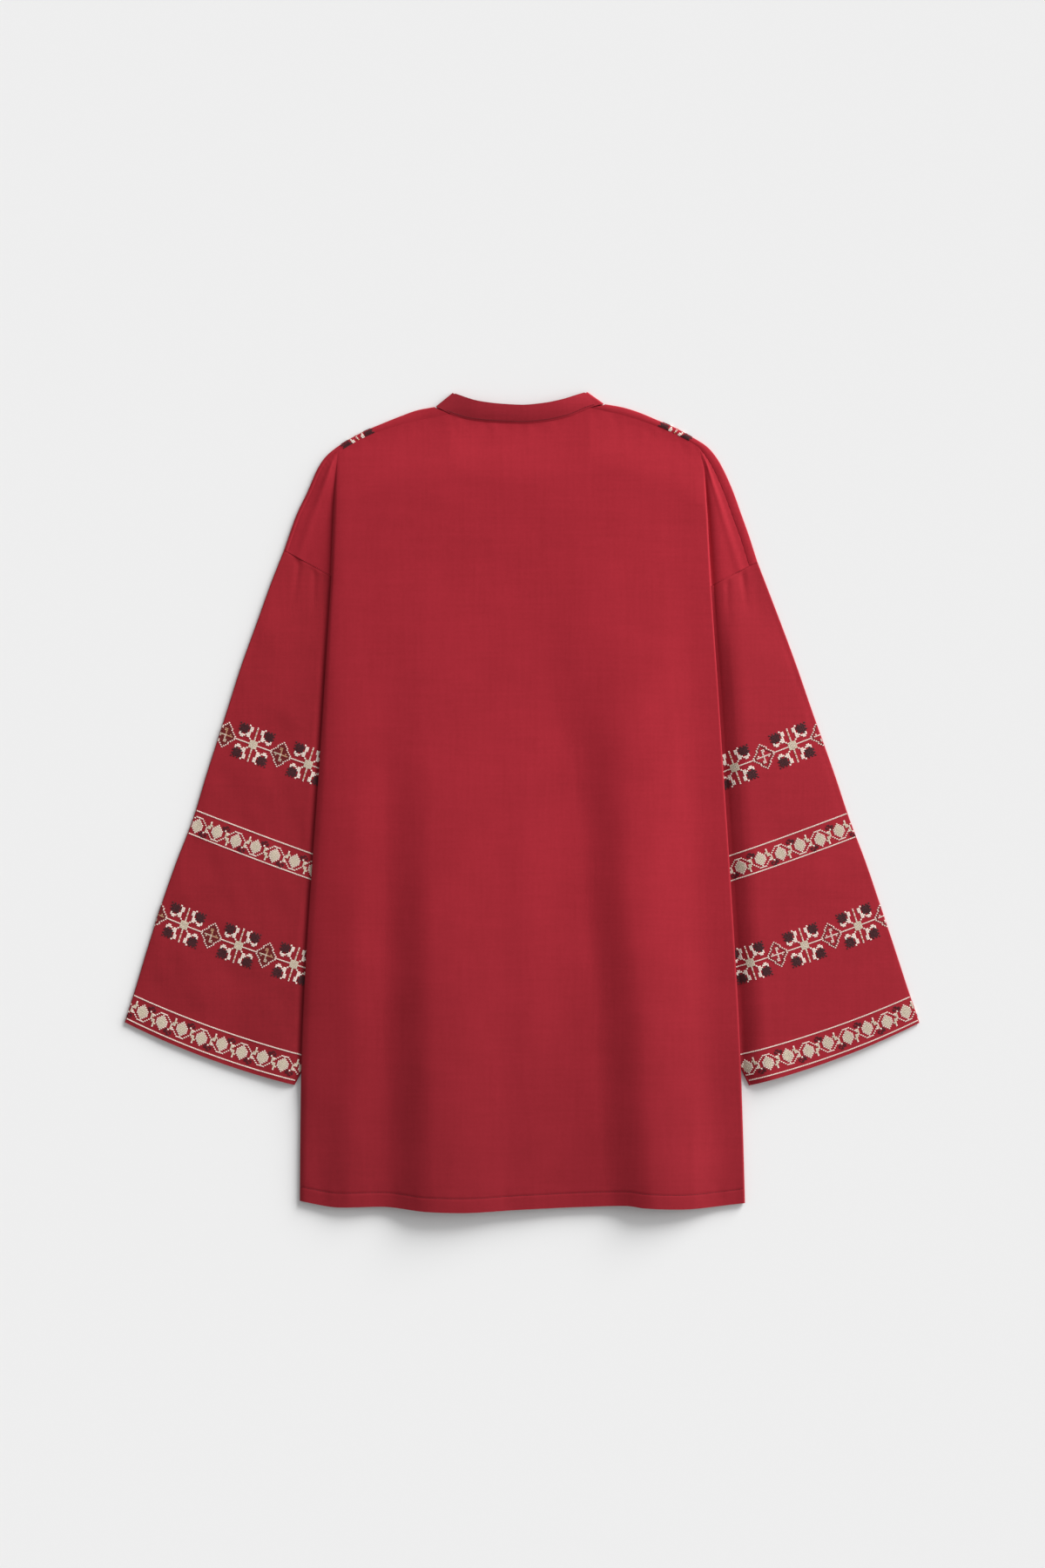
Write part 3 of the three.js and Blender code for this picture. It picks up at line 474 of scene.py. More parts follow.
def back_half(side):
    """Body patch and shoulder-end patch of one half of the back."""
    widest = side.body_out(BELOW_HEM)
    flat = np.linspace(0, 1, int(round((widest - EDGE_INSETS[0]) / BACK_CELL)))[:-1]
    shares = np.concatenate([flat, np.ones(len(EDGE_INSETS))])
    insets = np.concatenate([np.full(len(flat), EDGE_INSETS[0]), EDGE_INSETS])

    def outs(side_out):
        return np.maximum(side_out * shares - insets * shares, 0)

    def rolled(out, y, height, seam_height):
        """Points of a row, which turns down at its side from its own height to the seam's."""
        roll = mix(*side.rolls, smooth((side.underarm_y - y[-1]) / ROLL_GROWTH))
        steep = np.clip((roll - insets) / (roll - EDGE_INSETS[-1]), 0, 1)
        return side.xyz(out, y, mix(height, seam_height, 1 - np.sqrt(1 - steep ** 2)))

    top_gap = side.shoulder_out - side.body_out(side.shoulder_y)
    rows, flap = [], []
    for down in np.linspace(0, 1, BACK_TOP_ROWS) ** BACK_TOP_CROWDING:
        body_y = mix(side.shoulder_y, side.underarm_y, down)
        side_out = side.body_out(body_y) + top_gap * max(0, 1 - TOP_GAP_CLOSING * down)
        out = outs(side_out)
        y = mix(side.back_top(out * side.shoulder_out / side_out), side.underarm_line(out), down)
        height = back_height(side, out, y)
        rows.append(rolled(out, y, height, mix(height, SECOND, STEP_SEAM_SHARE)))
        flap.append(flap_row(side, rows[-1][-1], down))
    length = UNDERARM_CENTRE - hem_at(0)
    shares_down = np.linspace(0, 1 - HEM_ROWS[0] / length, int(round((length - HEM_ROWS[0]) / BACK_ROW)))
    for share in np.concatenate([shares_down[1:], 1 - HEM_ROWS[1:] / length]):
        out = outs(side.body_out(side.body_row(side.underarm_out, share)))
        y = side.body_row(out, share)
        seam_height = side.front_height(out, y) + SIDE_SEAM_RISE
        rows.append(rolled(out, y, back_height(side, out, y), seam_height))
    return np.array(rows), np.array(flap)


def gap_rise(side, reach, from_seam):
    """Height gained at a distance from the bed of the gap, falling away again at the shoulder seam."""
    height, length = GAP_RISES[side.name]
    return height * (1 - np.exp(-np.maximum(reach, 0) / length)) * smooth(from_seam / GAP_RISE_FALL)


def flap_row(side, step_point, down):
    """One row of the shoulder's end, from the foot of the step at the body's side to the armhole."""
    station = SHOULDER_END + down * SHOULDER_STATIONS
    foot = np.array([step_point[0], step_point[1], 0])
    edge = side.xyz(*side.seam_at(station), 0)
    inwards = foot - edge
    width = np.linalg.norm(inwards)
    edge = edge + inwards / max(width, 1e-6) * min(SEAM, width)
    shares = (1 - np.cos(np.pi * np.linspace(0, 1, FLAP_COLUMNS))) / 2
    points = mix(foot, edge, shares[:, None])
    closing = UNDERARM_CLOSE * smooth((down - UNDERARM_CLOSE_FROM) / (1 - UNDERARM_CLOSE_FROM))
    points[1:, 1] -= closing * (1 - shares[1:])
    reach = shares * width
    from_seam = width - reach
    step = (step_point[2] - SECOND) * (1 - smooth(reach / STEP_WIDTH))
    puff = FLAP_PUFF * min(width / FLAP_FULL_WIDTH, 1) * (1 - down ** 2) * np.sin(np.pi * shares) ** 2
    pucker = (FLAP_PUCKERS["height"] * np.sin(down * FLAP_PUCKERS["turns"])
              * smooth(1 - from_seam / FLAP_PUCKERS["width"]) * smooth(from_seam / SEAM_DIP_WIDTH))
    from_crease = shares - FLAP_CREASE["place"] - FLAP_CREASE["drift"] * down
    crease = (FLAP_CREASE["height"] * bell(from_crease, FLAP_CREASE["width"])
              * smooth(down / FLAP_CREASE["start"]) * smooth(width / FLAP_CREASE["full_width"]))
    dip = SEAM_DIP * bell(from_seam, SEAM_DIP_WIDTH) * smooth(width / SEAM_DIP_LEAST)
    rise = gap_rise(side, reach - GAP_BED, from_seam)
    details = (pucker + crease) * smooth(down / FLAP_DETAILS_START)
    points[:, 2] = SECOND + step + puff + rise + details - dip
    points[0, 2] = step_point[2]
    return points


def hem_details(rows):
    """Presses the hem's stitched row in, and puckers the cloth a little on both sides of it."""
    x, y = rows[..., 0], rows[..., 1]
    from_stitches = y - hem_at(x) - HEM_STITCH
    rows[..., 2] += (waves(x, y, HEM_PUCKERS) * bell(from_stitches, PUCKER_LENGTH)
                     - HEM_PRESS * bell(from_stitches, HEM_PRESS_WIDTH))
    return rows


def back_patches():
    patches = []
    for side in SIDES.values():
        body, flap = back_half(side)
        flip = side.sign < 0
        patches += [(hem_details(body), flip), (flap, flip)]
    return patches


# ---- front panel

FRONT_ROW = 8
FRONT_TOP_ROWS = 40  # rows from the neck and shoulder to the underarm
SHOULDER_COLUMNS = 61
SCOOP_COLUMNS = 16
FLAP_FRONT_COLUMNS = 8
STRIP_COLUMNS = 6
RAMP_INSETS = np.array([RAMP_FOOT, 19, 14, 9, 5, RAMP_TOP])
BESIDE_RAMP_COLUMNS = 5
TURN = np.radians(np.linspace(0, 180, 9))


def shoulder_turn(side, station):
    """Points from the layer on the surface, round the folded shoulder and over to the seam."""
    radius = mix((BACK_NECK - FIRST) / 2, FOLD, min(station, 1))
    edge = side.edge_at(station)
    inwards = side.seam_at(station) - edge
    width = np.linalg.norm(inwards)
    inwards = inwards / width
    distances = CLOTH / 2 + radius * (1 - np.sin(TURN))
    heights = FIRST + radius * (1 - np.cos(TURN))
    over = mix(distances[-1], width - SEAM / 2, steps(STRIP_COLUMNS))
    lift = STRIP_PUFF * np.sin(np.pi * (over - distances[-1]) / (width - distances[-1]))
    distances = np.concatenate([distances, over])
    heights = np.concatenate([heights, FIRST + 2 * radius + np.maximum(lift, 0)])
    plan = edge + inwards * distances[:, None]
    return side.xyz(plan[:, 0], plan[:, 1], heights)


def front_half(side):
    turns = np.array([shoulder_turn(side, k) for k in np.linspace(0, SHOULDER_END, SHOULDER_COLUMNS)])
    end_stations = np.linspace(SHOULDER_END, SHOULDER_END + SHOULDER_STATIONS, FRONT_TOP_ROWS)
    end_turns = np.array([shoulder_turn(side, k) for k in end_stations])
    neck = turns[0][0]
    angles = np.linspace(0, np.pi / 2, SCOOP_COLUMNS + 1)[:-1]
    out = np.maximum(abs(neck[0]) * np.sin(angles), SLIT_HALF_GAP)
    scoop = side.xyz(out, neck[1] - (neck[1] - NECK_BOTTOM) * np.cos(angles), FIRST)
    top = np.concatenate([scoop, turns[:, 0]])
    flat_columns = len(top) - len(RAMP_INSETS) - BESIDE_RAMP_COLUMNS

    def row_below(share, in_corner):
        line = side.body_row(side.underarm_out, share)
        fold = min(side.inner_at(line), side.body_out(line) - FRONT_SIDE_INSET)
        end = fold - CORNER_CLEAR if in_corner else side.body_out(line) - FRONT_SIDE_INSET
        ramp = fold - RAMP_INSETS
        out = np.concatenate([np.linspace(0, ramp[0], flat_columns + 1)[:-1], ramp,
                              mix(ramp[-1], end, steps(BESIDE_RAMP_COLUMNS))])
        out = np.maximum(out, SLIT_HALF_GAP if side.body_row(0, share) > SLIT_BOTTOM else 0)
        y = side.body_row(out, share)
        return side.xyz(out, y, side.front_height(out, y))

    corner = row_below(0, True)
    body, flap = [], []
    for i, down in enumerate(np.linspace(0, 1, FRONT_TOP_ROWS)):
        body.append(mix(top, corner, down))
        flap.append(mix(body[-1][-1], end_turns[i][0], np.linspace(0, 1, FLAP_FRONT_COLUMNS)[:, None]))
    length = UNDERARM_CENTRE - hem_at(0)
    shares = np.concatenate([[CORNER_ROW / length], np.linspace(0, 1, int(length / FRONT_ROW))[2:]])
    body += [row_below(share, i == 0) for i, share in enumerate(shares)]
    flip = side.sign < 0
    return [(np.array(body), flip), (np.array(flap), flip), (turns, flip), (end_turns, flip)]


# ---- sleeves

SLEEVE_ROW = 4
FIRST_ROWS = [0, 0.7, 1.4, 2.2, 3.2, 4.6, 6.4, 8.6, 11.2]  # closer rows beside the armhole seam
SLEEVE_CELL = 2.6
TOP_CROWDING = 0.9  # the upper layer's columns lie a little closer together beside the body
HIDDEN_COLUMNS = 6
BOTTOM_COLUMNS = 25
VISIBLE_PASSES = 4  # steps that home in on the visible width of a section
LEAST_VISIBLE = 8
LEAST_FALL = 10
SEAM_RUN_OUT = 5  # the seam's gap runs out over this length of the sleeve
FOLD_START = CLOTH / 2 + FOLD


def sleeve_width(side, t):
    slope = np.radians(side.sleeve_slope(t))
    return (side.sleeve_out(t) - side.sleeve_in(t)) / np.cos(slope)


def sleeve_visible(side, t):
    """Width of the sleeve outside the body's side, and a little more."""
    slope = np.radians(side.sleeve_slope(t))
    out, y = side.sleeve_out(t), side.sleeve_y(t)
    visible = sleeve_width(side, t)
    for _ in range(VISIBLE_PASSES):
        clear = side.body_out(y - np.sin(slope) * visible) + SLEEVE_TUCK_CLEAR
        visible = np.minimum((out - clear) / np.cos(slope), sleeve_width(side, t) - 2 * FOLD_START)
    return np.maximum(visible, LEAST_VISIBLE)


def sleeve_top(side, t, w):
    """Mid-height of the sleeve's upper layer at distance w from its outer fold."""
    visible = sleeve_visible(side, t)
    inside = visible - w
    full_rise = SLEEVE_RISES[side.name]
    near_body = np.clip(inside / np.minimum(full_rise, visible * SLEEVE_RISE_SHARE), 0, 1)
    fullness = near_body * (2 - near_body) * smooth(w / SLEEVE_ROLL)
    fall = np.clip(w / np.maximum(visible - full_rise / 2, LEAST_FALL), 0, 1)
    start = smooth(t / SLEEVE_PUFF_START)
    x, y = side.sleeve_out(t) - w, side.sleeve_y(t)
    puff = (SLEEVE_PUFFS[side.name] * fall + waves(x, y, SLEEVE_WAVES, side.sign)) * start
    puckers = (waves(w, t, ARMHOLE_PUCKERS, side.sign) * smooth(t / SLEEVE_PUCKER_START)
               * (1 - smooth(t / SLEEVE_PUCKER_LENGTH)))
    creasing = (SLEEVE_CREASES["depth"] * smooth(t / SLEEVE_CREASES["start"])
                * (1 - smooth(t / SLEEVE_CREASES["length"])))
    for place in SLEEVE_CREASES["places"]:
        line = visible * place + SLEEVE_CREASES["drift"] * t
        puckers = puckers - creasing * bell(w - line, SLEEVE_CREASES["width"])
    bed_rise = gap_rise(side, inside, w - side.strip_width) * (1 - start)
    return SECOND + (puff + puckers) * fullness + bed_rise - SEAM_DIP * bell(t, SEAM_DIP_WIDTH)


def sleeve_surface(side, t, u):
    """Point of the sleeve's middle surface: t along the outer fold from the armhole, u across from the
    outer fold's edge, above zero on the upper layer and below zero on the layer that lies underneath."""
    t, u = np.broadcast_arrays(np.asarray(t, float), np.asarray(u, float))
    reach = np.abs(u)
    angle = np.clip(reach / FOLD, 0, np.pi / 2)
    turning = reach < QUARTER_FOLD
    w = np.where(turning, FOLD_START - FOLD * np.cos(angle), FOLD_START + reach - QUARTER_FOLD)
    upper = np.where(turning, FIRST + FOLD + FOLD * np.sin(angle), sleeve_top(side, t, w))
    lower = FIRST + FOLD - FOLD * np.sin(angle)
    return sleeve_plan(side, t, w, np.where(u >= 0, upper, lower))


def sleeve_plan(side, t, w, z):
    """Point at distance w from the outer fold's edge, at a height."""
    width = sleeve_width(side, t)
    slope = np.radians(side.sleeve_slope(t))
    share = np.clip(w / width, 0, 1)
    bow = CUFF_BOW * (np.clip(t, 0, None) / side.sleeve_length) ** CUFF_BOW_GROWTH * 4 * share * (1 - share)
    lower_by = bow + SEAM * (1 - np.clip(t / SEAM_RUN_OUT, 0, 1))
    out = side.sleeve_out(t) - w * np.cos(slope) + lower_by * np.sin(slope)
    y = side.sleeve_y(t) - w * np.sin(slope) - lower_by * np.cos(slope)
    return side.xyz(out, y, z)


def sleeve_patch(side):
    rows = []
    top_cells = int(round(sleeve_visible(side, side.sleeve_length) / SLEEVE_CELL))
    later = np.linspace(FIRST_ROWS[-1], side.sleeve_length, int(round(side.sleeve_length / SLEEVE_ROW)))
    inner_angle = np.radians(np.linspace(180, 0, 9))[1:]
    outer_angle = np.radians(np.linspace(0, 180, 11))[1:-1]
    for t in np.concatenate([FIRST_ROWS, later[1:]]):
        visible = sleeve_visible(side, t)
        inner_fold = sleeve_width(side, t) - FOLD_START
        w_top = np.linspace(0, 1, top_cells) ** TOP_CROWDING * (visible - FOLD_START) + FOLD_START
        hidden = mix(visible, inner_fold, steps(HIDDEN_COLUMNS))
        bottom = mix(inner_fold, FOLD_START, steps(BOTTOM_COLUMNS))
        ring = [sleeve_surface(side, t, w_top - FOLD_START + QUARTER_FOLD)]
        ring += [sleeve_plan(side, t, w, z) for w, z in [
            (hidden, SECOND),
            (inner_fold + FOLD * np.sin(inner_angle), FIRST + FOLD * (1 - np.cos(inner_angle))),
            (bottom, FIRST),
            (FOLD_START - FOLD * np.sin(outer_angle), FIRST + FOLD * (1 - np.cos(outer_angle))),
        ]]
        rows.append(np.concatenate([*ring, ring[0][:1]]))
    return [(np.array(rows), side.sign < 0)]


# ---- collar

BAND_SHARES = np.linspace(0, 1, 12)
COLLAR_COLUMNS = 97  # across the back half; the first and last few are left to the folds
FOLD_COLUMNS = 4
COLLAR_FRONT_COLUMNS = 40


def band_row(seam, edge, puff):
    points = mix(np.asarray(seam, float), np.asarray(edge, float), BAND_SHARES[:, None])
    points[:, 2] += puff * np.sin(np.pi * BAND_SHARES)
    return points


def collar_fold(seam_x, seam_y, edge_x, edge_y):
    outwards = np.array([edge_y - seam_y, seam_x - edge_x])
    outwards = outwards / np.linalg.norm(outwards) * (1 if outwards[0] * seam_x > 0 else -1)
    rows = []
    for angle in np.radians(np.linspace(0, 180, 13)):
        inset = BAND / 2 + COLLAR_FOLD * (1 - math.sin(angle))
        z = COLLAR_FRONT + COLLAR_FOLD * (1 - math.cos(angle))
        rows.append(band_row([*(np.array([seam_x, seam_y]) - outwards * inset), z],
                             [*(np.array([edge_x, edge_y]) - outwards * inset), z], 0))
    return rows


def collar_front_half(fold):
    seam_bottom = NECK_BOTTOM + SEAM

    def on_curve(end, bottom, angle):
        x = math.copysign(max(abs(end[0]) * math.sin(angle), COLLAR_END_GAP), end[0])
        return [x, end[1] - (end[1] - bottom) * math.cos(angle), COLLAR_FRONT]

    return [band_row(on_curve(fold[0][0], seam_bottom, angle),
                     on_curve(fold[0][-1], seam_bottom + COLLAR_HEIGHT, angle), 0)
            for angle in np.linspace(0, np.pi / 2, COLLAR_FRONT_COLUMNS + 1)[:-1]]


def collar_patch():
    table = np.array(COLLAR_BACK_HALF)
    left, right = collar_fold(*table[0]), collar_fold(*table[-1])
    last = len(table) - 1
    seam_and_edge = curves(np.arange(len(table)), table.T)
    back = []
    for k in np.linspace(0, last, COLLAR_COLUMNS)[FOLD_COLUMNS:-FOLD_COLUMNS]:
        seam_x, seam_y, edge_x, edge_y = seam_and_edge(k)
        near_fold = smooth(min(k, last - k) / COLLAR_LIFT_START)
        back.append(band_row([seam_x, seam_y, COLLAR_BACK],
                             [edge_x, edge_y, COLLAR_BACK + COLLAR_LIFT * near_fold],
                             COLLAR_BACK_PUFF * near_fold))
    rows = collar_front_half(left) + left + back + right[::-1] + collar_front_half(right)[::-1]
    return [(np.array(rows), False)]


# ---- stitches

# A stitch is a cross of two strands. Each strand is a row of cross-sections: place along the strand as
# a share of the cell's half diagonal, height above the cloth, and share of the full width.
STRAND = [(-0.93, 0.02, 0.62), (0.0, 0.24, 1.0), (0.93, 0.02, 0.62)]
STRAND_WIDTH = 0.82
STRAND_HEIGHT = 0.34
UPPER_STRAND_LIFT = 0.12
FINE_SIZE = (0.92, 0.74)  # the crosses of lines are smaller than the others, along and across
FINE_STRAND = 0.6
CELL = 1.55  # across the bands; along them each repeat has a whole number of cells
PROBE = 0.3  # the surface's slope under a stitch is felt this far to each side


def strands(directions, width):
    """Vertices (along, across, up) and faces of crossing strands, each from -direction to direction."""
    vertices, faces = [], []
    for number, direction in enumerate(directions):
        direction = np.array(direction, float)
        sideways = np.array([-direction[1], direction[0]]) / np.linalg.norm(direction)
        start = len(vertices)
        for place, height, fullness in STRAND:
            middle = direction * place
            half = sideways * width / 2 * fullness
            up = height + UPPER_STRAND_LIFT * number
            vertices += [(*(middle + half), up), (*middle, up + STRAND_HEIGHT / 2),
                         (*(middle - half), up), (*middle, up - STRAND_HEIGHT / 2)]
        last = start + 4 * (len(STRAND) - 1)
        for ring in range(start, last, 4):
            for k in range(4):
                faces.append((ring + k, ring + (k + 1) % 4, ring + 4 + (k + 1) % 4, ring + 4 + k))
        faces += [(start + 3, start + 2, start + 1, start), (last, last + 1, last + 2, last + 3)]
    return np.array(vertices), np.array(faces)


def stitch_template(thread, cell_along):
    """A full cross, or a smaller and finer one for a thread in capitals."""
    along, across, width = cell_along / 2, CELL / 2, STRAND_WIDTH
    if thread.isupper():
        along, across, width = along * FINE_SIZE[0], across * FINE_SIZE[1], FINE_STRAND
    return strands([(along, across), (along, -across)], width)


def stamp(template, surface, p, q, flip):
    """Copies of a template on a surface at the places (p, q), as vertices and faces. The surface is a
    function of distances along and across."""
    vertices, faces = template
    along = unit(surface(p + PROBE, q) - surface(p - PROBE, q))
    normal = unit(np.cross(along, surface(p, q + PROBE) - surface(p, q - PROBE)) * flip)
    across = np.cross(normal, along) * flip
    origin = surface(p, q) + normal * CLOTH / 2
    stamped = (origin[:, None] + along[:, None] * vertices[None, :, :1]
               + across[:, None] * vertices[None, :, 1:2] + normal[:, None] * vertices[None, :, 2:])
    if flip < 0:
        faces = faces[:, ::-1]
    numbers = faces[None] + (np.arange(len(p)) * len(vertices))[:, None, None]
    return stamped.reshape(-1, 3), numbers.reshape(-1, 4)


def stamp_all(found, surface, flip):
    """Stitches by thread, from the places found for each thread and length of a stitch."""
    threads = {}
    for (thread, cell), places in found.items():
        part = stamp(stitch_template(thread, cell), surface, *np.array(places).T, flip)
        threads.setdefault(thread.lower(), []).append(part)
    return threads


# ---- motif charts, counted in stitches
# A chart is a dictionary from (along, across) to a thread: c cream, b beige, t tan, k black brown,
# m maroon, f brown. Capitals are smaller and finer stitches of the same threads.

FLOWER_CELLS = 36  # stitches in one repeat of the flower band
VINE_CELLS = 26  # and of the vine band
DIAMOND_HALF_LENGTH = 6.5
DIAMOND_HALF_HEIGHT = 8.3


def mirrored(cells, thread):
    return {(i * a, j * b): thread for i, j in cells for a in (1, -1) for b in (1, -1)}


def flower_chart():
    chart = {}
    block = {(i, j) for i in range(6, 11) for j in range(6, 11)}
    block |= {(11, 7), (11, 9), (7, 11), (9, 11), (11, 11), (5, 9), (9, 5)}
    arms = [(3, 3), (4, 4), (4, 5), (5, 5), (5, 4), (4, 7), (4, 8), (3, 8), (3, 9), (4, 6), (4, 9), (5, 6),
            (3, 10), (4, 10), (6, 5), (7, 4), (8, 4), (8, 3), (9, 4), (9, 3), (10, 4), (10, 5), (5, 11)]
    for thread, cells in [
            ("k", block), ("c", arms), ("C", [(0, j) for j in (4, 5, 7, 8, 10, 11)]),
            ("T", [(0, 6), (0, 9)]), ("C", [(i, 0) for i in range(3, 12)]),
            ("b", [(i, j) for i in range(3) for j in range(3)] + [(0, 3)])]:
        chart.update(mirrored(cells, thread))
    return chart


def diamond_chart(name):
    """The diamond of one sleeve: the right one is open, the left one filled with brown."""
    chart = {}
    rows = int(DIAMOND_HALF_HEIGHT)
    for j in range(-rows, rows + 1):
        edge = round(DIAMOND_HALF_LENGTH * (1 - abs(j) / DIAMOND_HALF_HEIGHT))
        for i in range(-edge, edge + 1):
            if abs(i) == edge:
                chart[i, j] = "C"
            elif name == "left" or abs(i) == edge - 1:
                chart[i, j] = "F"
    petals = {"left": "TBTB", "right": "CCCC"}[name]
    across, along = [(0, 1), (0, 2), (0, 3), (1, 3), (0, 4), (1, 4)], [(1, 0), (2, 0), (3, 0), (3, 1), (4, 0)]
    turns = [(across, -1, -1), (across, 1, 1), (along, 1, -1), (along, -1, 1)]
    for thread, (cells, a, b) in zip(petals, turns):
        chart.update({(i * a, j * b): thread for i, j in cells})
    chart[0, 0] = "C"
    return chart


def vine_half_chart():
    """The half repeat round an arch. The other half is the same one upside down."""
    chart = {}
    blossom = [(-8, -6), (-7, -6), (-10, -5), (-9, -5), (-8, -5), (-6, -5), (-9, -4), (-7, -4), (-6, -4),
               (-10, -4), (-9, -3), (-8, -3)]
    chart.update({cell: "m" for cell in blossom})
    chart.update({(i, -5): "C" for i in range(-2, 3)})
    for j in range(-4, 5):
        chart[round(3 + (j + 4) * 7 / 8), j] = "C"
    for j in range(-3, 6):
        i = round(-7.7 + (j + 2.8) * 0.41)
        chart[i, j] = "c" if j in (-3, 5) else "b"
        if j in (-2, -1, 1, 2, 3):
            chart[i + 1, j] = "c" if j == -2 else "b"
    for j, half in ((-3, 1), (-2, 2), (-1, 3), (0, 3), (1, 3), (2, 3), (3, 2), (4, 1)):
        chart.update({(i, j): "C" if abs(i) == half else "b" for i in range(-half, half + 1)})
    chart.update({(0, -4): "C", (0, 5): "C"})
    return chart


def vine_chart():
    half = vine_half_chart()
    chart = {(i + VINE_CELLS // 2, -j): thread for (i, j), thread in half.items()}
    chart.update(half)
    return chart


# Bands of each sleeve, from the measured places of their motifs. A flower band: distance along the
# outer fold from the armhole where it starts, its drift per millimetre towards the body, where its first
# motif is across the sleeve, and the length of its repeat. A vine band: start and drift of its top and
# bottom border rows, first motif, repeat, and how far the vine lies below the middle of the borders.
FLOWER_BANDS = {
    "left": [(191.2, -0.073, 35.0, 58.1), (380.9, -0.028, 27.6, 57.6)],
    "right": [(181.7, -0.050, 30.0, 61.0), (371.1, -0.040, 27.5, 56.3)],
}
VINE_BANDS = {
    "left": [((271.3, -0.037), (294.9, -0.027), 47.2, 40.9, 1.5),
             ((463.9, -0.020), (487.9, -0.004), 34.9, 42.2, 0.3)],
    "right": [((263.9, -0.0475), (288.4, -0.048), 34.4, 41.3, 1.5),
              ((455.1, -0.0325), (479.6, -0.0135), 30.0, 41.4, 0.3)],
}
BAND_WRAP = 0.5  # the bands are worked this far round the outer fold
BAND_HIDDEN = 9  # and this far under the body's side,
BAND_END = 2  # but stop this far short of the sleeve's inner fold
REPEAT_RANGE = -3, 6  # repeats and border stitches that are tried; those off the sleeve are left out
BORDER_RANGE = -4, 150


def band_places(charts, first, repeat, cells, t_at):
    """Places and threads of the stitches of one band: charts are (shift in cells, chart)."""
    cell = repeat / cells
    for shift, chart in charts:
        for (i, j), thread in chart.items():
            for turn in range(*REPEAT_RANGE):
                u = first + turn * repeat + (i + shift) * cell
                yield u, t_at(u) + j * CELL, thread


def sleeve_stitches(name):
    """Vertices and faces of the stitches on one sleeve, by thread."""
    side = SIDES[name]
    flowers = [(0, flower_chart()), (FLOWER_CELLS // 2, diamond_chart(name))]
    found = {}

    def add(places, template_cell):
        for u, t, thread in places:
            end = min(sleeve_visible(side, t) + BAND_HIDDEN, sleeve_width(side, t) - BAND_END)
            if -BAND_WRAP < u < end:
                found.setdefault((thread, template_cell), []).append((u, t))

    def line(start, drift):
        return lambda u: start + drift * u

    for start, drift, first, repeat in FLOWER_BANDS[name]:
        add(band_places(flowers, first, repeat, FLOWER_CELLS, line(start, drift)), repeat / FLOWER_CELLS)
    for top, bottom, first, repeat, low in VINE_BANDS[name]:
        cell = repeat / VINE_CELLS
        middle = line((top[0] + bottom[0]) / 2 + low, (top[1] + bottom[1]) / 2)
        add(band_places([(0, vine_chart())], first, repeat, VINE_CELLS, middle), cell)
        for border in (line(*top), line(*bottom)):
            add([(k * cell, border(k * cell), "C") for k in range(*BORDER_RANGE)], cell)
    return stamp_all(found, lambda p, q: sleeve_surface(side, q, p), side.sign)


SHOULDER_SAMPLES = 400  # points that measure the length of the folded edge
SHOULDER_FLOWERS = {"left": 164.7, "right": 153.9}  # distance out of the flower on each shoulder
SHOULDER_FLOWER_BEYOND = 9.2  # its middle lies this far down the hidden side
SHOULDER_FLOWER_END = 5.4  # it stops this far over the fold, at the seam


def shoulder_stitches(name):
    """Stitches of the flower that comes over the folded edge of the front panel."""
    side = SIDES[name]
    stations = np.linspace(0, SHOULDER_END, SHOULDER_SAMPLES)
    out, y = side.edge_at(stations).T
    along = lengths_along(out, y)
    centre = np.interp(SHOULDER_FLOWERS[name], out, along)

    def surface(p, q):
        """p: distance along the folded edge; q: distance over it, towards the seam."""
        station = np.interp(p, along, stations)
        edge = side.edge_at(station)
        inwards = side.seam_at(station) - edge
        width = np.linalg.norm(inwards, axis=-1)
        angle = np.clip(q / FOLD, -np.pi / 2, np.pi / 2)
        distance = np.where(np.abs(q) < QUARTER_FOLD, CLOTH / 2 + FOLD * (1 - np.cos(angle)),
                            CLOTH / 2 + FOLD + np.abs(q) - QUARTER_FOLD)
        z = FIRST + FOLD + FOLD * np.sin(angle)
        over = np.clip((distance - CLOTH / 2 - FOLD) / (width - CLOTH / 2 - FOLD), 0, 1)
        z = z + np.where(q > 0, STRIP_PUFF * np.sin(np.pi * over), 0)
        plan = edge + unit(inwards) * distance[:, None]
        return side.xyz(plan[:, 0], plan[:, 1], z)

    found = {}
    for (i, j), thread in flower_chart().items():
        q = j * CELL - SHOULDER_FLOWER_BEYOND
        if -BAND_WRAP < q < SHOULDER_FLOWER_END:
            found.setdefault((thread, CELL), []).append((centre + i * CELL, q))
    return stamp_all(found, surface, -side.sign)


# ---- materials

PAINTED_SHADE_FROM_Y = -70  # painted shade: below this Y the cloth's colour gets darker towards the hem
WEAVE_SCALE = 520  # bands of threads for each metre, as the wave texture counts them
PLY_SCALE = 1400
EVEN = (1, 1, 1)
SLUB_ALONG = (6.0, 0.35, 1.0)
SLUB_ACROSS = (0.35, 6.0, 1.0)


def connect(tree, node, inputs):
    """Sets a node's inputs, by name or number, to values or to other nodes' outputs."""
    for name, value in inputs.items():
        if isinstance(value, bpy.types.NodeSocket):
            tree.links.new(value, node.inputs[name])
        else:
            node.inputs[name].default_value = value


def add_node(tree, kind, inputs, **settings):
    node = tree.nodes.new("ShaderNode" + kind)
    for name, value in settings.items():
        setattr(node, name, value)
    connect(tree, node, inputs)
    return node


def new_material(name):
    """A material, its tree, and the socket of the coordinates on the object."""
    material = bpy.data.materials.new(name)
    material.use_nodes = True
    tree = material.node_tree
    return material, tree, add_node(tree, "TexCoord", {}).outputs["Object"]


def dye_ramp(tree, factor, stops):
    node = add_node(tree, "ValToRGB", {"Fac": factor})
    for element, (position, color) in zip(node.color_ramp.elements, stops):
        element.position, element.color = position, (*color, 1)
    return node.outputs["Color"]


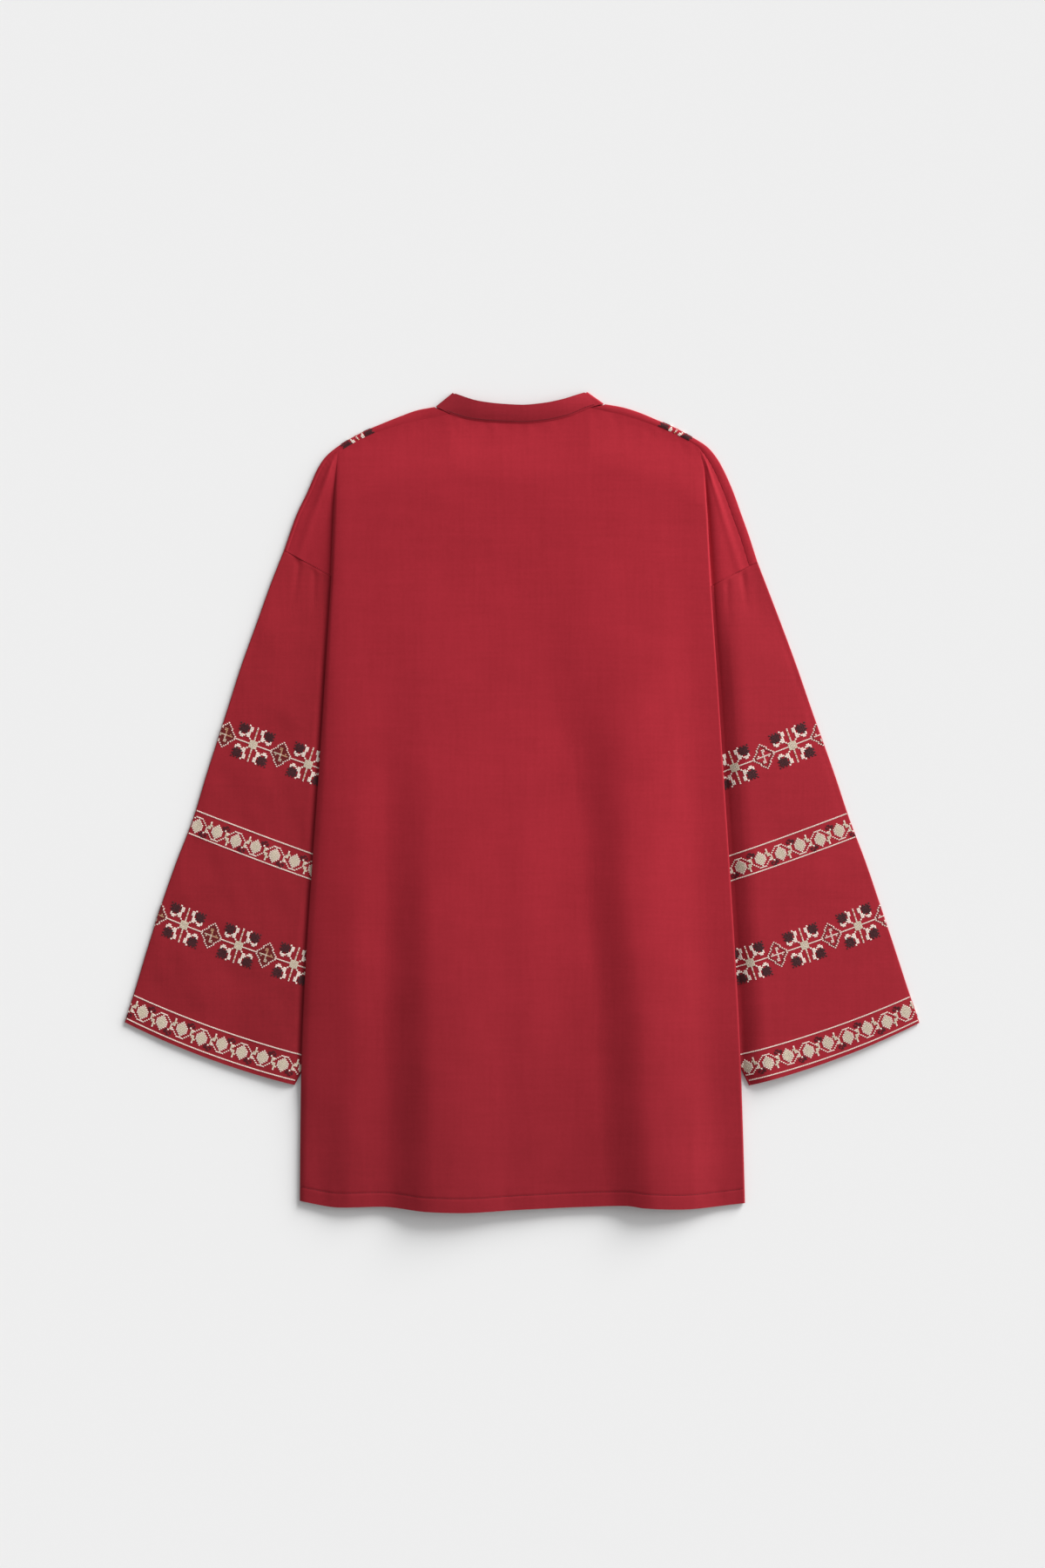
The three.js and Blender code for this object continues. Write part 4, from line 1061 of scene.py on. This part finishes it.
def relief(tree, height, strength, distance):
    node = add_node(tree, "Bump", {"Height": height, "Strength": strength, "Distance": distance})
    return node.outputs["Normal"]


def cloth_material(name, deep, light, painted_light_slopes, painted_hem_shade=0.0):
    """Soft plain-woven cotton: mottled dye, slubs along both threads, and a fine weave in relief. Painted
    light and shade: the colour gets lighter by the given shares for each metre along X and Y, as if lit from
    the right and from the neck end. Below the Y set at the top of this section it also gets darker towards
    the hem, by the last share for each metre, as painted shade."""
    material, tree, place = new_material(name)

    def noise(scale, stretch, detail):
        mapping = add_node(tree, "Mapping", {"Vector": place, "Scale": stretch})
        return add_node(tree, "TexNoise", {"Vector": mapping.outputs["Vector"], "Scale": scale,
                                           "Detail": detail}).outputs["Fac"]

    def join(a, b, factor):
        return add_node(tree, "Mix", {"Factor": factor, "A": a, "B": b}).outputs["Result"]

    def threads(direction):
        return add_node(tree, "TexWave", {"Vector": place, "Scale": WEAVE_SCALE, "Distortion": 0.6},
                        bands_direction=direction).outputs["Fac"]

    slubs = join(noise(60, SLUB_ALONG, 3.0), noise(60, SLUB_ACROSS, 3.0), 0.5)
    clouds = join(noise(18, EVEN, 6.0), noise(420, EVEN, 2.0), 0.42)
    dye = dye_ramp(tree, join(clouds, slubs, 0.42), [(0.36, deep), (0.64, light)])
    # painted light and shade: the mottled dye is scaled lighter towards +X and +Y, and darker towards the hem
    along = add_node(tree, "VectorMath", {0: place, 1: (*painted_light_slopes, 0)}, operation="DOT_PRODUCT")
    y = add_node(tree, "SeparateXYZ", {"Vector": place}).outputs["Y"]
    below_waist = add_node(tree, "Math", {0: y, 1: PAINTED_SHADE_FROM_Y * MM}, operation="MINIMUM")
    painted_hem_shade_share = add_node(tree, "Math", {0: below_waist.outputs[0], 1: painted_hem_shade,
                                        2: 1 - painted_hem_shade * PAINTED_SHADE_FROM_Y * MM}, operation="MULTIPLY_ADD")
    painted_light_factor = add_node(tree, "Math", {0: along.outputs["Value"], 1: painted_hem_shade_share.outputs[0]})
    painted_light_dye = add_node(tree, "VectorMath", {0: dye, "Scale": painted_light_factor.outputs[0]}, operation="SCALE")
    weave = join(threads("X"), threads("Y"), 0.5)
    connect(tree, tree.nodes["Principled BSDF"], {
        "Base Color": painted_light_dye.outputs["Vector"],
        "Normal": relief(tree, join(weave, slubs, 0.45), 0.35, 0.0006),
        "Roughness": 0.78,
        "Specular IOR Level": 0.22,
        "Sheen Weight": 0.12,
        "Sheen Roughness": 0.5,
        "Sheen Tint": (1.0, 0.5, 0.5, 1),
    })
    return material


def thread_material(name, color, dark):
    """Stranded cotton: fine ply lines across a slightly uneven dye, with a soft shine."""
    material, tree, place = new_material(name)
    noise = add_node(tree, "TexNoise", {"Vector": place, "Scale": 900, "Detail": 2})
    plies = add_node(tree, "TexWave", {"Vector": place, "Scale": PLY_SCALE}, bands_direction="DIAGONAL")
    connect(tree, tree.nodes["Principled BSDF"], {
        "Base Color": dye_ramp(tree, noise.outputs["Fac"], [(0.35, dark), (0.65, color)]),
        "Normal": relief(tree, plies.outputs["Fac"], 0.3, 0.0002),
        "Roughness": 0.6,
        "Specular IOR Level": 0.25,
    })
    return material


# painted light and shade on the body: lighter towards its right side and its neck, darker towards the hem
body_cloth = cloth_material(
    "red_cotton_body_painted_shading", (0.305, 0.0075, 0.0175), (0.365, 0.0115, 0.0245), (0.26, 0.24), 0.42)
# painted shade: the left sleeve is a darker copy of the same red, for its lying turned away from the light,
# and it gets lighter towards +Y
left_cloth = cloth_material(
    "red_cotton_left_sleeve_painted_shade", (0.252, 0.0065, 0.0140), (0.310, 0.0095, 0.0195), (0.0, 0.5))
# painted light: the right sleeve gets lighter towards +Y
right_cloth = cloth_material(
    "red_cotton_right_sleeve_painted_light", (0.302, 0.0080, 0.018), (0.365, 0.0120, 0.025), (0.0, 0.25))
# painted highlight: the collar gets lighter towards its right end, which faces the light
collar_cloth = cloth_material(
    "red_cotton_collar_painted_highlight", (0.302, 0.0090, 0.0195), (0.362, 0.0130, 0.026), (1.8, 0.0))

THREADS = {letter: (name, thread_material(f"{name}_thread", color, dark)) for letter, name, color, dark in [
    ("c", "cream", (0.98, 0.87, 0.78), (0.90, 0.74, 0.65)),
    ("b", "beige", (0.78, 0.68, 0.53), (0.62, 0.53, 0.41)),
    ("t", "tan", (0.66, 0.42, 0.25), (0.52, 0.32, 0.18)),
    ("k", "black_brown", (0.062, 0.014, 0.018), (0.036, 0.008, 0.011)),
    ("m", "maroon", (0.085, 0.006, 0.012), (0.060, 0.004, 0.008)),
    ("r", "red", (0.150, 0.006, 0.012), (0.110, 0.004, 0.009)),
    ("f", "brown", (0.175, 0.016, 0.014), (0.130, 0.011, 0.010)),
]}

# ---- cloth pieces


def cloth_piece(name, patches, thickness, material, slot, node):
    obj = piece(name, *wall(patches, thickness), material, slot)
    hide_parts(node)
    return obj


back = cloth_piece("back_panel", back_patches(), CLOTH, body_cloth, "body_cloth", "back")
front = cloth_piece("front_panel", front_half(SIDES["left"]) + front_half(SIDES["right"]), CLOTH, body_cloth,
                    "body_cloth", "front")
sleeve_left = cloth_piece("left_sleeve", sleeve_patch(SIDES["left"]), CLOTH, left_cloth,
                          "sleeve_left_cloth", "sleeve_left")
sleeve_right = cloth_piece("right_sleeve", sleeve_patch(SIDES["right"]), CLOTH, right_cloth,
                           "sleeve_right_cloth", "sleeve_right")
collar = cloth_piece("band_collar", collar_patch(), BAND, collar_cloth, "collar_cloth", "collar")

# ---- embroidery


def joined(parts):
    """One mesh from several (vertices, faces)."""
    vertices, faces, start = [], [], 0
    for part_vertices, part_faces in parts:
        vertices.append(part_vertices)
        faces.append(part_faces + start)
        start += len(part_vertices)
    return np.concatenate(vertices), np.concatenate(faces).tolist()


def embroidery(prefix, threads, slot):
    pieces = []
    for thread, parts in sorted(threads.items()):
        color, material = THREADS[thread]
        pieces.append(piece(f"{prefix}_{color}", *joined(parts), material, slot))
    return pieces


left_embroidery = embroidery("left_stitches", sleeve_stitches("left"), "sleeve_left_cloth")
right_embroidery = embroidery("right_stitches", sleeve_stitches("right"), "sleeve_right_cloth")
shoulder_threads = shoulder_stitches("left")
for thread, parts in shoulder_stitches("right").items():
    shoulder_threads.setdefault(thread, []).extend(parts)
shoulder_embroidery = embroidery("shoulder_stitches", shoulder_threads, "body_cloth")

# ---- sewing

RUNNING_STITCH = 2.3  # length of a stitch,
RUNNING_PITCH = 3.0  # from one to the next,
RUNNING_WIDTH = 0.5  # and the thread's width
COLLAR_PITCH = RUNNING_PITCH * 0.85
COLLAR_STITCH = 1.9  # the band's row of stitches runs this far above its seam
HEM_STITCHES_FROM_TO = -217, 218
COLLAR_STITCHES_FROM_TO = -74, 72
ABOVE_ALL = 40  # height from which the cloth below is looked for


def lying_on(obj, plan):
    """Surface for stamp(): points plan(p, q) gives as x and y, at the middle of the cloth below them."""
    tree = BVHTree.FromPolygons([vertex.co / MM for vertex in obj.data.vertices],
                                [tuple(face.vertices) for face in obj.data.polygons])

    def surface(p, q):
        x, y = plan(p, q)
        hits = [tree.ray_cast(Vector((a, b, ABOVE_ALL)), Vector((0, 0, -1)))[0] for a, b in zip(x, y)]
        z = np.array([hit.z if hit else 0 for hit in hits]) - CLOTH / 2
        return np.stack([x, y, z], axis=-1)

    return surface


def hem_plan(p, q):
    return p, hem_at(p) + HEM_STITCH + q


collar_at = curves(np.array(COLLAR_BACK_HALF)[:, 0], np.array(COLLAR_BACK_HALF).T)


def collar_plan(p, q):
    seam, edge = np.split(collar_at(p), 2, axis=-1)
    place = seam + unit(edge - seam) * (COLLAR_STITCH + np.asarray(q)[..., None])
    return place[:, 0], place[:, 1]


def running_stitches(name, obj, plan, places, slot):
    template = strands([(RUNNING_STITCH / 2, 0)], RUNNING_WIDTH)
    stitches = stamp(template, lying_on(obj, plan), places, np.zeros(len(places)), 1)
    return piece(name, *joined([stitches]), THREADS["r"][1], slot)


hem_stitches = running_stitches("hem_stitches", back, hem_plan,
                                np.arange(*HEM_STITCHES_FROM_TO, RUNNING_PITCH), "body_cloth")
collar_stitches = running_stitches("collar_stitches", collar, collar_plan,
                                   np.arange(*COLLAR_STITCHES_FROM_TO, COLLAR_PITCH), "collar_cloth")

# ---- floor, light and camera, in metres

FLOOR_HALF = 8
FLOOR_Z = -0.0003
FLOOR_COLOR = (0.85, 0.85, 0.85, 1)
FLOOR_LEVEL = 1.0  # light on the floor, from the suns and the sky together
# Suns: share of FLOOR_LEVEL, elevation, azimuth from +Y towards +X, and spread, in degrees. The second
# one is weaker and wider and grazes the cloth from the right.
SUNS = {"key": (0.46, 21, 38, 30), "side": (0.15, 11, 74, 42)}
VIEW_HEIGHT = 1.548
VIEW_CENTRE = (0.0004, 0.0176)
CAMERA_DISTANCE = 4.3
SENSOR = 36


def floor():
    material, tree, _ = new_material("floor_paper")
    connect(tree, tree.nodes["Principled BSDF"],
            {"Base Color": FLOOR_COLOR, "Roughness": 0.9, "Specular IOR Level": 0.0})
    mesh = bpy.data.meshes.new("floor")
    corners = [(-1, -1), (1, -1), (1, 1), (-1, 1)]
    mesh.from_pydata([(x * FLOOR_HALF, y * FLOOR_HALF, FLOOR_Z) for x, y in corners], [], [(0, 1, 2, 3)])
    mesh.materials.append(material)
    return in_scene("floor", mesh)


def sun(name, share, elevation, azimuth, spread):
    """A distant light that gives the floor its share of FLOOR_LEVEL."""
    light = bpy.data.lights.new(name, "SUN")
    light.energy = FLOOR_LEVEL * share * math.pi / math.sin(math.radians(elevation))
    light.angle = math.radians(spread)
    in_scene(name, light).rotation_euler = (math.radians(90 - elevation), 0, math.radians(180 - azimuth))


def sky():
    world = bpy.data.worlds.new("studio")
    world.use_nodes = True
    left = 1 - sum(share for share, *_ in SUNS.values())
    connect(world.node_tree, world.node_tree.nodes["Background"],
            {"Color": (1, 1, 1, 1), "Strength": FLOOR_LEVEL * left})
    bpy.context.scene.world = world


def camera():
    data = bpy.data.cameras.new("camera")
    data.sensor_fit = "VERTICAL"
    data.sensor_height = SENSOR
    data.lens = SENSOR * CAMERA_DISTANCE / VIEW_HEIGHT
    obj = in_scene("camera", data)
    obj.location = (*VIEW_CENTRE, CAMERA_DISTANCE)
    bpy.context.scene.camera = obj


floor()
sky()
for name, settings in SUNS.items():
    sun(name, *settings)
camera()
bpy.context.scene.view_settings.view_transform = "Standard"
